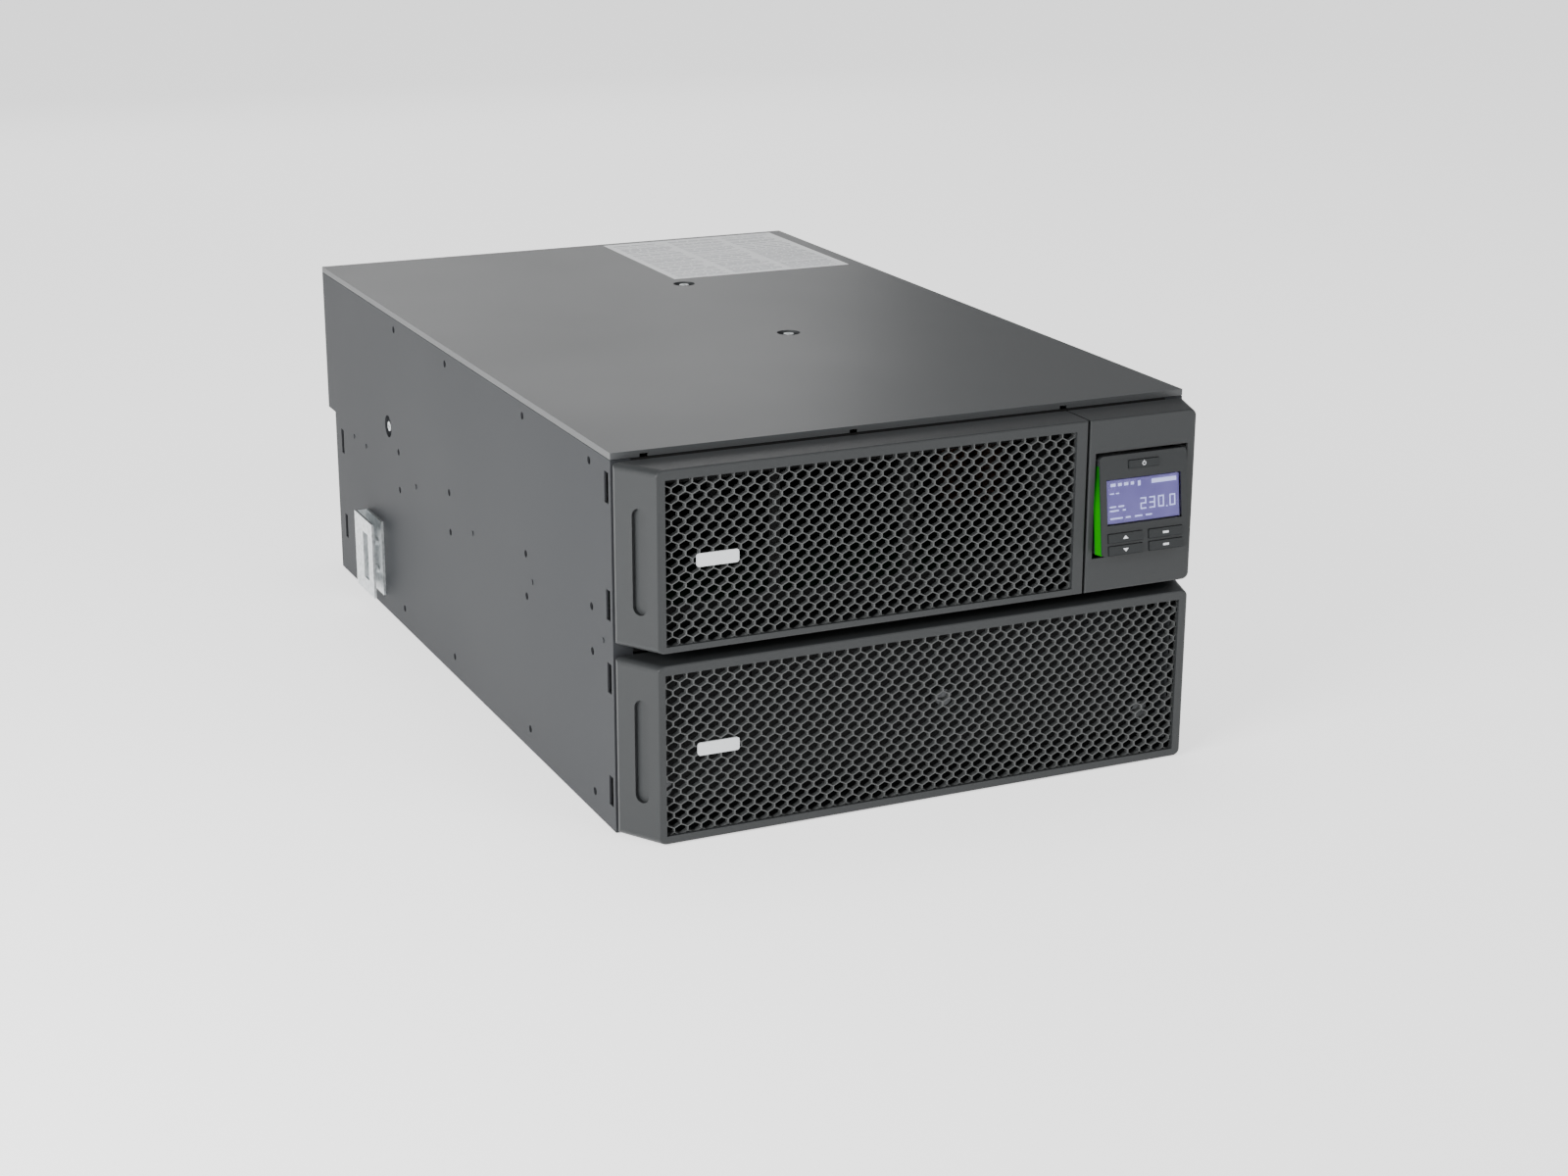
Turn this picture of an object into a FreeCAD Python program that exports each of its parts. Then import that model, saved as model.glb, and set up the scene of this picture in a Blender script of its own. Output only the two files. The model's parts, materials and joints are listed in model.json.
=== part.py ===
"""A six-unit rackmount uninterruptible power supply, as a parametric document.

Frame: X to the right as seen from the front, Y towards the rear, Z up, millimetres.
The origin is the centre of the chassis floor's underside, so the steel chassis runs from
-chassis_length / 2 at its front plane to +chassis_length / 2 at its upper rear plane.
"""

import FreeCAD, Part

import math
import os
import re
from types import SimpleNamespace

import Sketcher
from FreeCAD import Placement, Rotation, Vector

# ---------------------------------------------------------------- driving dimensions

SIZES = [
    # chassis and sheet metal
    ("chassis_width", 432, "over the side walls"),
    ("chassis_length", 681, "front plane to upper rear plane"),
    ("case_height", 263, "floor to the top of the cover"),
    ("sheet_steel", 1.5, "wall thickness of all sheet metal"),
    ("step_height", 139.5, "height where the rear steps out"),
    ("step_depth", 20.5, "how much shorter the lower half is"),
    ("cover_lip", 4.5, "height of the cover's folded edge"),
    ("cover_seam", 0.4, "gap under the cover's folded edge"),
    ("notch_across", 6, "three notches in the cover's front edge"),
    ("notch_up", 2.2, ""),
    ("front_flange", 14, "width of the folded front edges"),
    ("wall_hole_radius", 2.75, "mounting holes in the side walls"),
    ("hole_column_one", 38.5, "mounting hole columns, from the front plane"),
    ("hole_column_two", 169, ""),
    ("hole_column_three", 343, ""),
    ("hole_column_four", 474, ""),
    ("hole_row_one", 16, "mounting hole rows, from the floor"),
    ("hole_row_two", 117, ""),
    ("hole_row_three", 148.5, ""),
    ("hole_row_four", 249, ""),
    ("slot_width", 7, "slots near the front and rear edges of the walls"),
    ("slot_height", 21, ""),
    ("front_slot_start", 4, "front plane to the front slots"),
    ("rear_slot_start", 637, "front plane to the rear slots"),
    ("slot_row_one", 17, "bottoms of the slots"),
    ("slot_row_two", 97, ""),
    ("slot_row_three", 148, ""),
    ("slot_row_four", 228, ""),
    ("rear_slot_row_one", 31.5, ""),
    ("rear_slot_row_two", 107.5, ""),
    ("dimple_radius", 9, "round dishes that hold a case screw"),
    ("dimple_depth", 2.2, ""),
    ("side_dimple_place", 500, "from the front plane"),
    ("side_dimple_height", 164, ""),
    ("cover_dimple_across", 40, "from the centre line"),
    ("cover_dimple_front", 280, "from the front plane"),
    ("cover_dimple_rear", 487.5, ""),
    ("rivet_radius", 1.9, ""),
    ("rivet_head", 0.5, ""),
    ("screw_head_radius", 3.9, "M4 pan head"),
    ("screw_head_height", 2.2, ""),
    ("screw_shank_radius", 2, ""),
    ("screw_shank_length", 5, ""),
    ("screw_slot_width", 1.1, "cross recess"),
    ("screw_slot_length", 4.6, ""),
    ("screw_slot_depth", 1.4, ""),
    # shelf and inner front panels
    ("shelf_height", 130, "underside of the shelf between the two halves"),
    ("window_width", 92, "air windows of the inner front panel"),
    ("window_height", 84, ""),
    ("door_margin_side", 9, "battery door to chassis sides"),
    ("door_bottom", 5, ""),
    ("door_top", 123, ""),
    ("thumb_radius", 6, "captive thumbscrews of the battery door"),
    ("thumb_length", 9, ""),
    ("thumb_inset", 12, "outer thumbscrews to the door's ends"),
    ("thumb_low", 31, "height of the outer thumbscrews"),
    ("thumb_middle", 25, "the third thumbscrew, off the centre line"),
    # bezels
    ("bezel_depth", 34, "chassis front plane to the bezel faces"),
    ("bezel_gap", 3, "chassis front plane to the bezel backs"),
    ("bezel_wall", 2.4, "moulded wall thickness"),
    ("bezel_side_gap", 0.6, "bezel ends inside the chassis width"),
    ("end_round", 5, "rounding of the slanted ends' upper and lower edges"),
    ("end_land", 2.5, "straight part of a bezel end before it slants"),
    ("left_corner", 198, "centre line to the left front corner"),
    ("right_corner", 206, "centre line to the right front corner"),
    ("lower_bezel_bottom", 0.6, ""),
    ("lower_bezel_top", 126, ""),
    ("upper_bezel_bottom", 134, ""),
    ("upper_bezel_top", 257.6, ""),
    ("seam_place", 119.6, "centre line to the seam beside the display bezel"),
    ("seam_gap", 1.6, ""),
    ("upper_mesh_left", 192, "grille openings"),
    ("upper_mesh_right", 110.8, ""),
    ("upper_mesh_bottom", 138.6, ""),
    ("upper_mesh_top", 250.6, ""),
    ("lower_mesh_left", 193, ""),
    ("lower_mesh_right", 199.5, ""),
    ("lower_mesh_bottom", 6.4, ""),
    ("lower_mesh_top", 119.2, ""),
    ("grille_border", 2, "grille plate hidden behind the rim"),
    ("grille_gap", 0, "between the grille and the rim's back"),
    ("grille_depth", 4, ""),
    ("grille_rim", 1, "solid edge round the cells, hidden behind the bezel"),
    ("cell_pitch_across", 9.75, "honeycomb cells"),
    ("cell_pitch_up", 5.37, ""),
    ("cell_half_width", 4.4, ""),
    ("cell_half_height", 3.5, ""),
    ("cell_half_side", 1.35, ""),
    ("grip_width", 11, "finger grips in the slanted ends"),
    ("grip_length", 72, ""),
    ("grip_depth", 3, ""),
    ("grip_offset", 19, "along the slant, from its rear edge"),
    ("upper_grip_height", 194.5, "centres of the grips"),
    ("lower_grip_height", 64, ""),
    ("stud_radius", 3, "snap studs behind the bezels"),
    ("stud_length", 11, ""),
    ("stud_inset", 9, ""),
    ("stud_clearance", 0.5, ""),
    ("lug_across", 8.2, "lugs that tie the studs to the slanted ends"),
    ("lug_depth", 7, ""),
    ("lug_up", 10, ""),
    ("lug_shift", 0.7, ""),
    ("badge_width", 30, ""),
    ("badge_height", 9, ""),
    ("badge_depth", 1.2, ""),
    ("badge_round", 2, ""),
    ("badge_place", 155, "centre line to the badges"),
    ("upper_badge_height", 194.5, ""),
    ("lower_badge_height", 64, ""),
    # display module, in its own frame: origin on the hinge line, face towards -Y
    ("hinge_across", 163, "centre line to the module's centre"),
    ("hinge_depth", 28.6, "chassis front plane to the hinge line"),
    ("hinge_height", 228, ""),
    ("rest_tilt", 7, "degrees out of flush, as it stands"),
    ("module_size", 70, "square module"),
    ("module_above", 2.6, "module top above the hinge line"),
    ("module_proud", 7.6, "module face in front of the hinge line"),
    ("module_depth", 18, ""),
    ("module_round", 3, ""),
    ("module_gap", 2, "opening beside the module"),
    ("module_gap_top", 3.2, ""),
    ("module_gap_bottom", 2.2, ""),
    ("pin_radius", 1.5, ""),
    ("pin_length", 6.4, ""),
    ("pin_inside", 3.2, "length of pin inside the module"),
    ("pin_clearance", 0.06, ""),
    ("window_across", 60, "LCD window"),
    ("window_up", 32, ""),
    ("window_drop", 16.6, "module top to window top"),
    ("window_thick", 1.2, ""),
    ("window_sink", 0.4, ""),
    ("lcd_across", 58, ""),
    ("lcd_up", 30, ""),
    ("lcd_thick", 2, ""),
    ("key_across", 27, "keys under the window"),
    ("key_up", 6.2, ""),
    ("key_pitch_across", 32.5, ""),
    ("key_pitch_up", 8.6, ""),
    ("key_drop", 57.6, "module top to the centre of the upper keys"),
    ("key_thick", 4, ""),
    ("key_proud", 0.9, ""),
    ("key_gap", 0.35, ""),
    ("power_across", 24, ""),
    ("power_up", 5.4, ""),
    ("power_drop", 7.4, ""),
    ("bar_height", 62.5, "green light bars"),
    ("bar_lift", 0.8, "module bottom to the bars"),
    ("bar_depth", 8.5, ""),
    ("bar_thick", 2.4, ""),
    ("bar_inset", 1.2, "module face to the bars"),
    ("board_thick", 1.6, "printed circuit boards"),
    ("cradle_wall", 2.2, ""),
    ("cradle_gap", 0.8, "cradle ear to module side"),
    # fans
    ("fan_size", 80, ""),
    ("fan_depth", 25, ""),
    ("fan_bore", 38, ""),
    ("fan_hub", 17, ""),
    ("fan_blade_tip", 36.4, ""),
    ("fan_blade_thick", 1.6, ""),
    ("fan_motor_radius", 15, ""),
    ("fan_motor_depth", 5, ""),
    ("fan_pitch", 90, ""),
    ("fan_first", 158, "centre line to the outermost fan"),
    ("fan_height", 199, ""),
    ("fan_back_gap", 3, ""),
    ("fan_shaft_radius", 2, ""),
    ("fan_shaft_clearance", 0.05, ""),
    # rear equipment
    ("outlet_across", 27, "light-duty outlet recess"),
    ("outlet_up", 19, ""),
    ("outlet_pitch", 32, ""),
    ("light_pin_across", 2.4, ""),
    ("light_pin_up", 6, ""),
    ("pin_depth", 10, ""),
    ("heavy_across", 33, "heavy-duty outlet recess"),
    ("heavy_up", 24, ""),
    ("heavy_pitch", 40, ""),
    ("heavy_pin_across", 8, ""),
    ("heavy_pin_up", 2.6, ""),
    ("outlet_moat", 2.6, ""),
    ("outlet_depth", 14, ""),
    ("outlet_block_depth", 24, ""),
    ("outlet_rim", 3, "block around the recesses"),
    ("outlet_flange", 1.6, "block in front of the panel"),
    ("light_bank_place", 152, ""),
    ("heavy_bank_place", 49, ""),
    ("bank_upper_height", 106, ""),
    ("bank_lower_height", 66, ""),
    ("breaker_across", 36, ""),
    ("breaker_up", 46, ""),
    ("breaker_place", 138, ""),
    ("breaker_height", 100, ""),
    ("toggle_across", 14, ""),
    ("toggle_radius", 7, ""),
    ("toggle_lever", 17, ""),
    ("reset_radius", 4, "push-to-reset buttons"),
    ("reset_collar_radius", 7, ""),
    ("reset_spacing", 20, ""),
    ("reset_height", 52, ""),
    ("cover_box_across", 96, "terminal cover"),
    ("cover_box_up", 82, ""),
    ("cover_box_depth", 17, ""),
    ("cover_box_place", 62, ""),
    ("cover_box_height", 72, ""),
    ("knockout_radius", 11, ""),
    ("socket_across", 30, "external battery socket"),
    ("socket_up", 66, ""),
    ("socket_depth", 26, ""),
    ("socket_well", 18, "depth of the battery socket's two wells"),
    ("socket_place", 188, ""),
    ("socket_height", 82, ""),
    ("card_across", 110, "network card"),
    ("card_up", 38, ""),
    ("card_length", 130, ""),
    ("card_place", 143, ""),
    ("card_height", 171, ""),
    ("port_across", 14, ""),
    ("port_up", 12, ""),
    ("port_depth", 12, ""),
    ("small_port", 13, ""),
    ("wide_port", 24, ""),
    ("port_block_across", 96, ""),
    ("port_block_up", 26, ""),
    ("port_block_height", 222, ""),
    ("vent_pitch", 8.6, "round rear vents' hexagons"),
    ("vent_half_flat", 3.4, ""),
    # rear brackets
    ("bracket_front", 521, "from the front plane"),
    ("bracket_length", 50, ""),
    ("bracket_bottom", 12, ""),
    ("bracket_height", 64, ""),
    ("bracket_reach", 12, "how far it stands off the wall"),
    ("bracket_steel", 2, ""),
    ("bracket_slot_across", 14, ""),
    ("bracket_slot_up", 40, ""),
    ("bracket_foot_back", 6, "foot starts behind the plate's front edge"),
    # batteries
    ("pack_across", 100, ""),
    ("pack_up", 112, ""),
    ("pack_length", 560, ""),
    ("pack_pitch", 104.5, ""),
    ("pack_floor", 4, ""),
    ("pack_start", 14, "from the front plane"),
    ("handle_across", 62, ""),
    ("handle_reach", 9, ""),
    ("handle_bar", 4, ""),
    # electronics
    ("power_board_across", 392, ""),
    ("power_board_length", 520, ""),
    ("power_board_start", 40, ""),
    ("board_standoff", 8, ""),
    ("heatsink_across", 64, ""),
    ("heatsink_up", 72, ""),
    ("heatsink_length", 320, ""),
    ("heatsink_fin", 2.4, ""),
    ("heatsink_base", 7, ""),
    ("coil_radius", 26, ""),
    ("coil_section", 11, ""),
    ("can_radius", 15, ""),
    ("can_height", 52, ""),
    # label
    ("label_across", 163, ""),
    ("label_along", 166, ""),
    ("label_left", 40, ""),
    ("label_front", 508, ""),
    ("label_thick", 0.2, ""),
]


class Size:
    """A number that also carries the spreadsheet formula it comes from."""

    def __init__(self, value, text):
        self.value = value
        self.text = text

    def join(self, sign, other, value):
        return Size(value, f"({self.text} {sign} {words(other)})")

    def __add__(self, other):
        return self.join("+", other, self.value + number(other))

    def __sub__(self, other):
        return self.join("-", other, self.value - number(other))

    def __mul__(self, other):
        return self.join("*", other, self.value * number(other))

    def __truediv__(self, other):
        return self.join("/", other, self.value / number(other))

    def __neg__(self):
        return Size(-self.value, f"(0 - {self.text})")


def number(size):
    return size.value if isinstance(size, Size) else float(size)


def words(size):
    return size.text if isinstance(size, Size) else f"{float(size):.6f}"


doc = FreeCAD.newDocument("rack_ups")
sheet = doc.addObject("Spreadsheet::Sheet", "Sizes")
for row, (alias, value, meaning) in enumerate(SIZES, 1):
    sheet.set(f"A{row}", meaning)
    sheet.set(f"B{row}", str(value))
    sheet.setAlias(f"B{row}", alias)
doc.recompute()
s = SimpleNamespace(**{alias: Size(float(value), f"Sizes.{alias}") for alias, value, _ in SIZES})

FRONT = -s.chassis_length / 2
REAR = s.chassis_length / 2
LOWER_REAR = REAR - s.step_depth
HALF = s.chassis_width / 2
SUBPARTS = []

# ---------------------------------------------------------------- building blocks

TURNS = {
    "x": Rotation(Vector(0, 1, 0), 90),
    "y": Rotation(Vector(1, 0, 0), -90),
    "z": Rotation(),
}


def clean(name):
    return re.sub(r"[^A-Za-z0-9_]", "_", name)


def place(obj, x, y, z):
    for axis, size in zip("xyz", (x, y, z)):
        obj.setExpression(f"Placement.Base.{axis}", words(size))
    return obj


def box(name, across, along, up, x, y, z):
    """A box of these sizes in X, Y and Z whose lowest corner is at x, y, z."""
    obj = doc.addObject("Part::Box", clean(name))
    for prop, size in (("Length", across), ("Width", along), ("Height", up)):
        obj.setExpression(prop, words(size))
    return place(obj, x, y, z)


def middle_box(name, across, along, up, x, y, z):
    """A box centred on x and z that starts at y."""
    half_across = across / 2
    half_up = up / 2
    return box(name, across, along, up, neg_add(half_across, x), y, neg_add(half_up, z))


def neg_add(half, centre):
    return -half + centre if isinstance(half, Size) else Size(-half, f"{-half}") + centre


def cylinder(name, radius, length, x, y, z, along="z"):
    obj = doc.addObject("Part::Cylinder", clean(name))
    obj.Placement = Placement(Vector(), TURNS[along])
    obj.setExpression("Radius", words(radius))
    obj.setExpression("Height", words(length))
    return place(obj, x, y, z)


def fuse(name, parts):
    obj = doc.addObject("Part::MultiFuse", clean(name))
    obj.Shapes = parts
    obj.Refine = True
    return obj


def group(name, parts):
    obj = doc.addObject("Part::Compound", clean(name))
    obj.Links = parts
    return obj


def cut(name, base, tools, merge=False):
    """Base less the tools. Tools that overlap each other are merged first."""
    if len(tools) > 1:
        tool = (fuse if merge else group)(name + "_tools", tools)
    else:
        tool = tools[0]
    obj = doc.addObject("Part::Cut", clean(name))
    obj.Base = base
    obj.Tool = tool
    obj.Refine = True
    return obj


def subpart(obj, label):
    obj.Label = label
    if obj.Label != label:
        raise RuntimeError(f"the name {label} is already taken")
    SUBPARTS.append(obj)
    return obj


def plane(body, role):
    return next(f for f in body.Origin.OriginFeatures if f.Role == role)


def draw(sketch, points):
    """A closed outline of straight edges, each corner tied to the sheet."""
    count = len(points)
    corners = [Vector(number(a), number(b), 0) for a, b in points]
    for i in range(count):
        sketch.addGeometry(Part.LineSegment(corners[i], corners[(i + 1) % count]), False)
    for i in range(count):
        sketch.addConstraint(Sketcher.Constraint("Coincident", i, 2, (i + 1) % count, 1))
    for i, point in enumerate(points):
        for kind, size in zip(("DistanceX", "DistanceY"), point):
            rule = Sketcher.Constraint(kind, -1, 1, i, 1, number(size))
            index = sketch.addConstraint(rule)
            sketch.setExpression(f"Constraints[{index}]", words(size))


def sketch_on(body, role, points, offset=0):
    sketch = body.newObject("Sketcher::SketchObject", clean(body.Name + "_outline"))
    sketch.AttachmentSupport = (plane(body, role), [""])
    sketch.MapMode = "FlatFace"
    sketch.setExpression("AttachmentOffset.Base.z", words(offset))
    draw(sketch, points)
    return sketch


def padded_body(name, role, points, length, offset=0, reverse=False):
    """A PartDesign body: one outline on an origin plane, padded."""
    body = doc.addObject("PartDesign::Body", clean(name))
    pad = body.newObject("PartDesign::Pad", clean(name + "_pad"))
    pad.Profile = sketch_on(body, role, points, offset)
    pad.setExpression("Length", words(length))
    pad.Reversed = reverse
    return body


def dress(body, kind, size, wanted):
    """A Fillet or Chamfer on the edges of the body's tip for which wanted(edge) is true."""
    doc.recompute([body])
    tip = body.Tip
    names = [f"Edge{i}" for i, edge in enumerate(tip.Shape.Edges, 1) if wanted(edge)]
    feature = body.newObject(f"PartDesign::{kind}", clean(body.Name + "_" + kind.lower()))
    feature.Base = (tip, names)
    prop = "Radius" if kind == "Fillet" else "Size"
    feature.setExpression(prop, words(size))
    return feature


def rectangle(x0, x1, z0, z1):
    return [(x0, z0), (x1, z0), (x1, z1), (x0, z1)]


def fixed_shape(shape, label):
    """A sub-part whose shape neither primitives nor sketches suit."""
    obj = doc.addObject("Part::Feature", clean(label))
    obj.Shape = shape
    return subpart(obj, label)


# ---------------------------------------------------------------- perforated plates


def wire_of(points, y):
    return Part.makePolygon([Vector(x, y, z) for x, z in points + points[:1]])


def cell_outline(x, z):
    """A honeycomb cell: wide, with upright sides and a point at the top and bottom."""
    half_width, half_height = number(s.cell_half_width), number(s.cell_half_height)
    side = number(s.cell_half_side)
    return [
        (x + half_width, z - side),
        (x + half_width, z + side),
        (x, z + half_height),
        (x - half_width, z + side),
        (x - half_width, z - side),
        (x, z - half_height),
    ]


def trimmed(points, axis, limit, keep_below):
    """The part of a convex outline on one side of a straight limit."""
    kept = []
    for i, point in enumerate(points):
        following = points[(i + 1) % len(points)]
        here, there = point[axis] - limit, following[axis] - limit
        if keep_below:
            here, there = -here, -there
        if here >= 0:
            kept.append(point)
        if (here > 0 > there) or (here < 0 < there):
            share = here / (here - there)
            kept.append(tuple(a + (b - a) * share for a, b in zip(point, following)))
    return kept


def enclosed(points):
    """Area of an outline."""
    pairs = zip(points, points[1:] + points[:1])
    return abs(sum(a[0] * b[1] - b[0] * a[1] for a, b in pairs)) / 2


SMALLEST_CELL = 4


def honeycomb_plate(x0, x1, z0, z1, y, depth):
    """A plate with staggered cells; those at its edge are cut off along a narrow rim."""
    across, up = number(s.cell_pitch_across), number(s.cell_pitch_up)
    rim = number(s.grille_rim)
    centre_x, centre_z = (x0 + x1) / 2, (z0 + z1) / 2
    columns = int((x1 - x0) / across / 2) + 2
    rows = int((z1 - z0) / up / 2) + 2
    wires = [wire_of([(x0, z0), (x1, z0), (x1, z1), (x0, z1)], y)]
    for row in range(-rows, rows + 1):
        shift = across / 2 if row % 2 else 0
        for column in range(-columns, columns + 1):
            cell = cell_outline(centre_x + column * across + shift, centre_z + row * up)
            for axis, low, high in ((0, x0 + rim, x1 - rim), (1, z0 + rim, z1 - rim)):
                cell = trimmed(trimmed(cell, axis, low, False), axis, high, True)
            if len(cell) > 2 and enclosed(cell) > SMALLEST_CELL:
                wires.append(wire_of(cell, y))
    return Part.makeFace(wires, "Part::FaceMakerBullseye").extrude(Vector(0, depth, 0))


def regular_hexagon(x, z, half_flat):
    corner = half_flat / math.cos(math.pi / 6)
    turns = [math.pi / 6 + i * math.pi / 3 for i in range(6)]
    return [(x + corner * math.cos(t), z + corner * math.sin(t)) for t in turns]


def round_vent(x0, z0, radius, y):
    """Hexagons on a regular pitch that fill a circle."""
    pitch, half_flat = number(s.vent_pitch), number(s.vent_half_flat)
    count = int(radius / pitch) + 1
    wires = []
    for row in range(-count - 1, count + 2):
        for column in range(-count, count + 1):
            x = (column + (0.5 if row % 2 else 0)) * pitch
            z = row * pitch * math.sqrt(3) / 2
            if math.hypot(x, z) < radius - half_flat:
                wires.append(wire_of(regular_hexagon(x0 + x, z0 + z, half_flat), y))
    return wires


def rectangle_wire(x, z, across, up, y):
    half_x, half_z = number(across) / 2, number(up) / 2
    corners = [(x - half_x, z - half_z), (x + half_x, z - half_z)]
    corners += [(x + half_x, z + half_z), (x - half_x, z + half_z)]
    return wire_of(corners, y)


# ---------------------------------------------------------------- chassis

HOLE_COLUMNS = [s.hole_column_one, s.hole_column_two, s.hole_column_three, s.hole_column_four]
HOLE_ROWS = [s.hole_row_one, s.hole_row_two, s.hole_row_three, s.hole_row_four]
SLOT_ROWS = [s.slot_row_one, s.slot_row_two, s.slot_row_three, s.slot_row_four]
REAR_SLOT_ROWS = [s.rear_slot_row_one, s.rear_slot_row_two]
RIVET_PLACES = [18.5, 157, 289, 430, 569, 604.5]
RIVET_LIFT = 0.8
NOTCH_PLACES = (-192.6, -42, 119.4)
CLEAR = 0.1
BRACKET_SCREW_LIFTS = (-12, 12)


def side_wall(name, x):
    """One side wall with its rear step."""
    top = s.case_height - s.cover_lip - s.cover_seam
    points = [(FRONT, 0), (LOWER_REAR, 0), (LOWER_REAR, s.step_height), (REAR, s.step_height)]
    points += [(REAR, top), (FRONT, top)]
    return padded_body(name, "YZ_Plane", points, s.sheet_steel, offset=x)


def wall_tools(side, x):
    """Everything that is cut through one side wall; x is where the cutters start."""
    deep = s.sheet_steel * 3
    tools = []
    for i, column in enumerate(HOLE_COLUMNS):
        for j, height in enumerate(HOLE_ROWS):
            name = f"{side}_hole_{i}_{j}"
            tools.append(cylinder(name, s.wall_hole_radius, deep, x, FRONT + column, height, "x"))
    for j, height in enumerate(SLOT_ROWS):
        at = FRONT + s.front_slot_start
        tools.append(box(f"{side}_slot_{j}", deep, s.slot_width, s.slot_height, x, at, height))
    for j, height in enumerate(REAR_SLOT_ROWS):
        at = FRONT + s.rear_slot_start
        tools.append(box(f"{side}_rear_slot_{j}", deep, s.slot_width, s.slot_height, x, at, height))
    at = FRONT + s.side_dimple_place
    tools.append(cylinder(f"{side}_dish", s.dimple_radius, deep, x, at, s.side_dimple_height, "x"))
    for i, along in enumerate(RIVET_PLACES):
        height = s.shelf_height + RIVET_LIFT
        radius = s.rivet_radius + CLEAR
        tools.append(cylinder(f"{side}_rivet_hole_{i}", radius, deep, x, FRONT + along, height, "x"))
    for i, height in enumerate(bracket_screw_heights()):
        radius = s.screw_shank_radius + CLEAR
        name = f"{side}_bracket_hole_{i}"
        tools.append(cylinder(name, radius, deep, x, bracket_slot_centre(), height, "x"))
    return tools


def dish(name, x, y, z, along, inward):
    """The pressed dish that holds a case screw: a shallow cup behind its hole."""
    radius = s.dimple_radius
    outer = cylinder(name + "_outer", radius + 1, s.dimple_depth + s.sheet_steel, x, y, z, along)
    start = {"x": x, "z": z}[along]
    inner_at = start + s.sheet_steel if inward < 0 else start - s.sheet_steel
    hole_at = start - s.sheet_steel
    if along == "x":
        inner = cylinder(name + "_inner", radius, s.dimple_depth + s.sheet_steel, inner_at, y, z, along)
        hole = cylinder(name + "_bore", s.screw_shank_radius + 0.25, radius, hole_at, y, z, along)
    else:
        inner = cylinder(name + "_inner", radius, s.dimple_depth + s.sheet_steel, x, y, inner_at, along)
        hole = cylinder(name + "_bore", s.screw_shank_radius + 0.25, radius, x, y, hole_at, along)
    return cut(name, outer, [inner, hole], merge=True)


def chassis():
    inner = HALF - s.sheet_steel
    length = s.chassis_length - s.step_depth
    top = s.case_height - s.cover_lip - s.cover_seam
    deep = s.sheet_steel * 3
    floor = box("floor", s.chassis_width, length, s.sheet_steel, -HALF, FRONT, 0)
    left_tools = wall_tools("left", -HALF - s.sheet_steel)
    right_tools = wall_tools("right", HALF - s.sheet_steel * 2)
    left = cut("left_wall", side_wall("left_wall_sheet", -HALF), left_tools)
    right = cut("right_wall", side_wall("right_wall_sheet", inner), right_tools)
    flange = s.front_flange
    pieces = [floor, left, right]
    pieces.append(box("left_flange", flange, s.sheet_steel, top, -HALF, FRONT, 0))
    pieces.append(box("right_flange", flange, s.sheet_steel, top, HALF - flange, FRONT, 0))
    place_y = FRONT + s.side_dimple_place
    height = s.side_dimple_height
    cup = s.dimple_depth + s.sheet_steel
    pieces.append(dish("left_cup", -HALF + s.sheet_steel / 2, place_y, height, "x", 1))
    pieces.append(dish("right_cup", HALF - s.sheet_steel / 2 - cup, place_y, height, "x", -1))
    tub = fuse("chassis_sheets", pieces)
    drain = []
    for side, x in (("left", -HALF + s.stud_inset), ("right", HALF - s.stud_inset)):
        for j, height in enumerate(stud_heights()):
            name = f"{side}_catch_{j}"
            hole = s.stud_radius + s.stud_clearance
            drain.append(cylinder(name, hole, deep, x, FRONT - s.sheet_steel, height, "y"))
    subpart(cut("chassis_tub", tub, drain), "chassis")


def stud_heights():
    """Heights of the snap studs: two for each bezel."""
    inset = s.stud_inset * 2
    return [
        s.lower_bezel_bottom + inset,
        s.lower_bezel_top - inset,
        s.upper_bezel_bottom + inset,
        s.upper_bezel_top - inset,
    ]


def top_cover():
    plate_z = s.case_height - s.sheet_steel
    plate = box("cover_plate", s.chassis_width, s.chassis_length, s.sheet_steel, -HALF, FRONT, plate_z)
    lip_z = s.case_height - s.cover_lip
    rim = box("cover_rim", s.chassis_width, s.chassis_length, s.cover_lip, -HALF, FRONT, lip_z)
    thick = s.sheet_steel
    inside = box(
        "cover_inside",
        s.chassis_width - thick * 2,
        s.chassis_length - thick * 2,
        s.cover_lip,
        -HALF + thick,
        FRONT + thick,
        lip_z - thick,
    )
    lip = cut("cover_lip_ring", rim, [inside])
    sheet_metal = fuse("cover_sheet", [plate, lip])
    holes, cups = [], []
    for i, along in enumerate((s.cover_dimple_front, s.cover_dimple_rear)):
        y = FRONT + along
        x = s.cover_dimple_across
        holes.append(cylinder(f"cover_hole_{i}", s.dimple_radius, thick * 3, x, y, plate_z - thick))
        cup_z = s.case_height - thick / 2 - s.dimple_depth - thick
        cups.append(dish(f"cover_cup_{i}", x, y, cup_z, "z", -1))
    for i, x in enumerate(NOTCH_PLACES):
        size = s.notch_across, thick + 1, s.notch_up + 1
        centre = x, FRONT - 0.5, lip_z + (s.notch_up - 1) / 2
        holes.append(middle_box(f"cover_notch_{i}", *size, *centre))
    pierced = cut("cover_pierced", sheet_metal, holes)
    subpart(fuse("cover_folded", [pierced] + cups), "top_cover")


def mid_shelf():
    gap = 0.3
    across = s.chassis_width - s.sheet_steel * 2 - gap * 2
    along = s.chassis_length - s.step_depth - s.sheet_steel * 3 - 1
    y = FRONT + s.sheet_steel + 0.5
    plate = box("shelf_plate", across, along, s.sheet_steel, -across / 2, y, s.shelf_height)
    subpart(plate, "mid_shelf")


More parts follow.
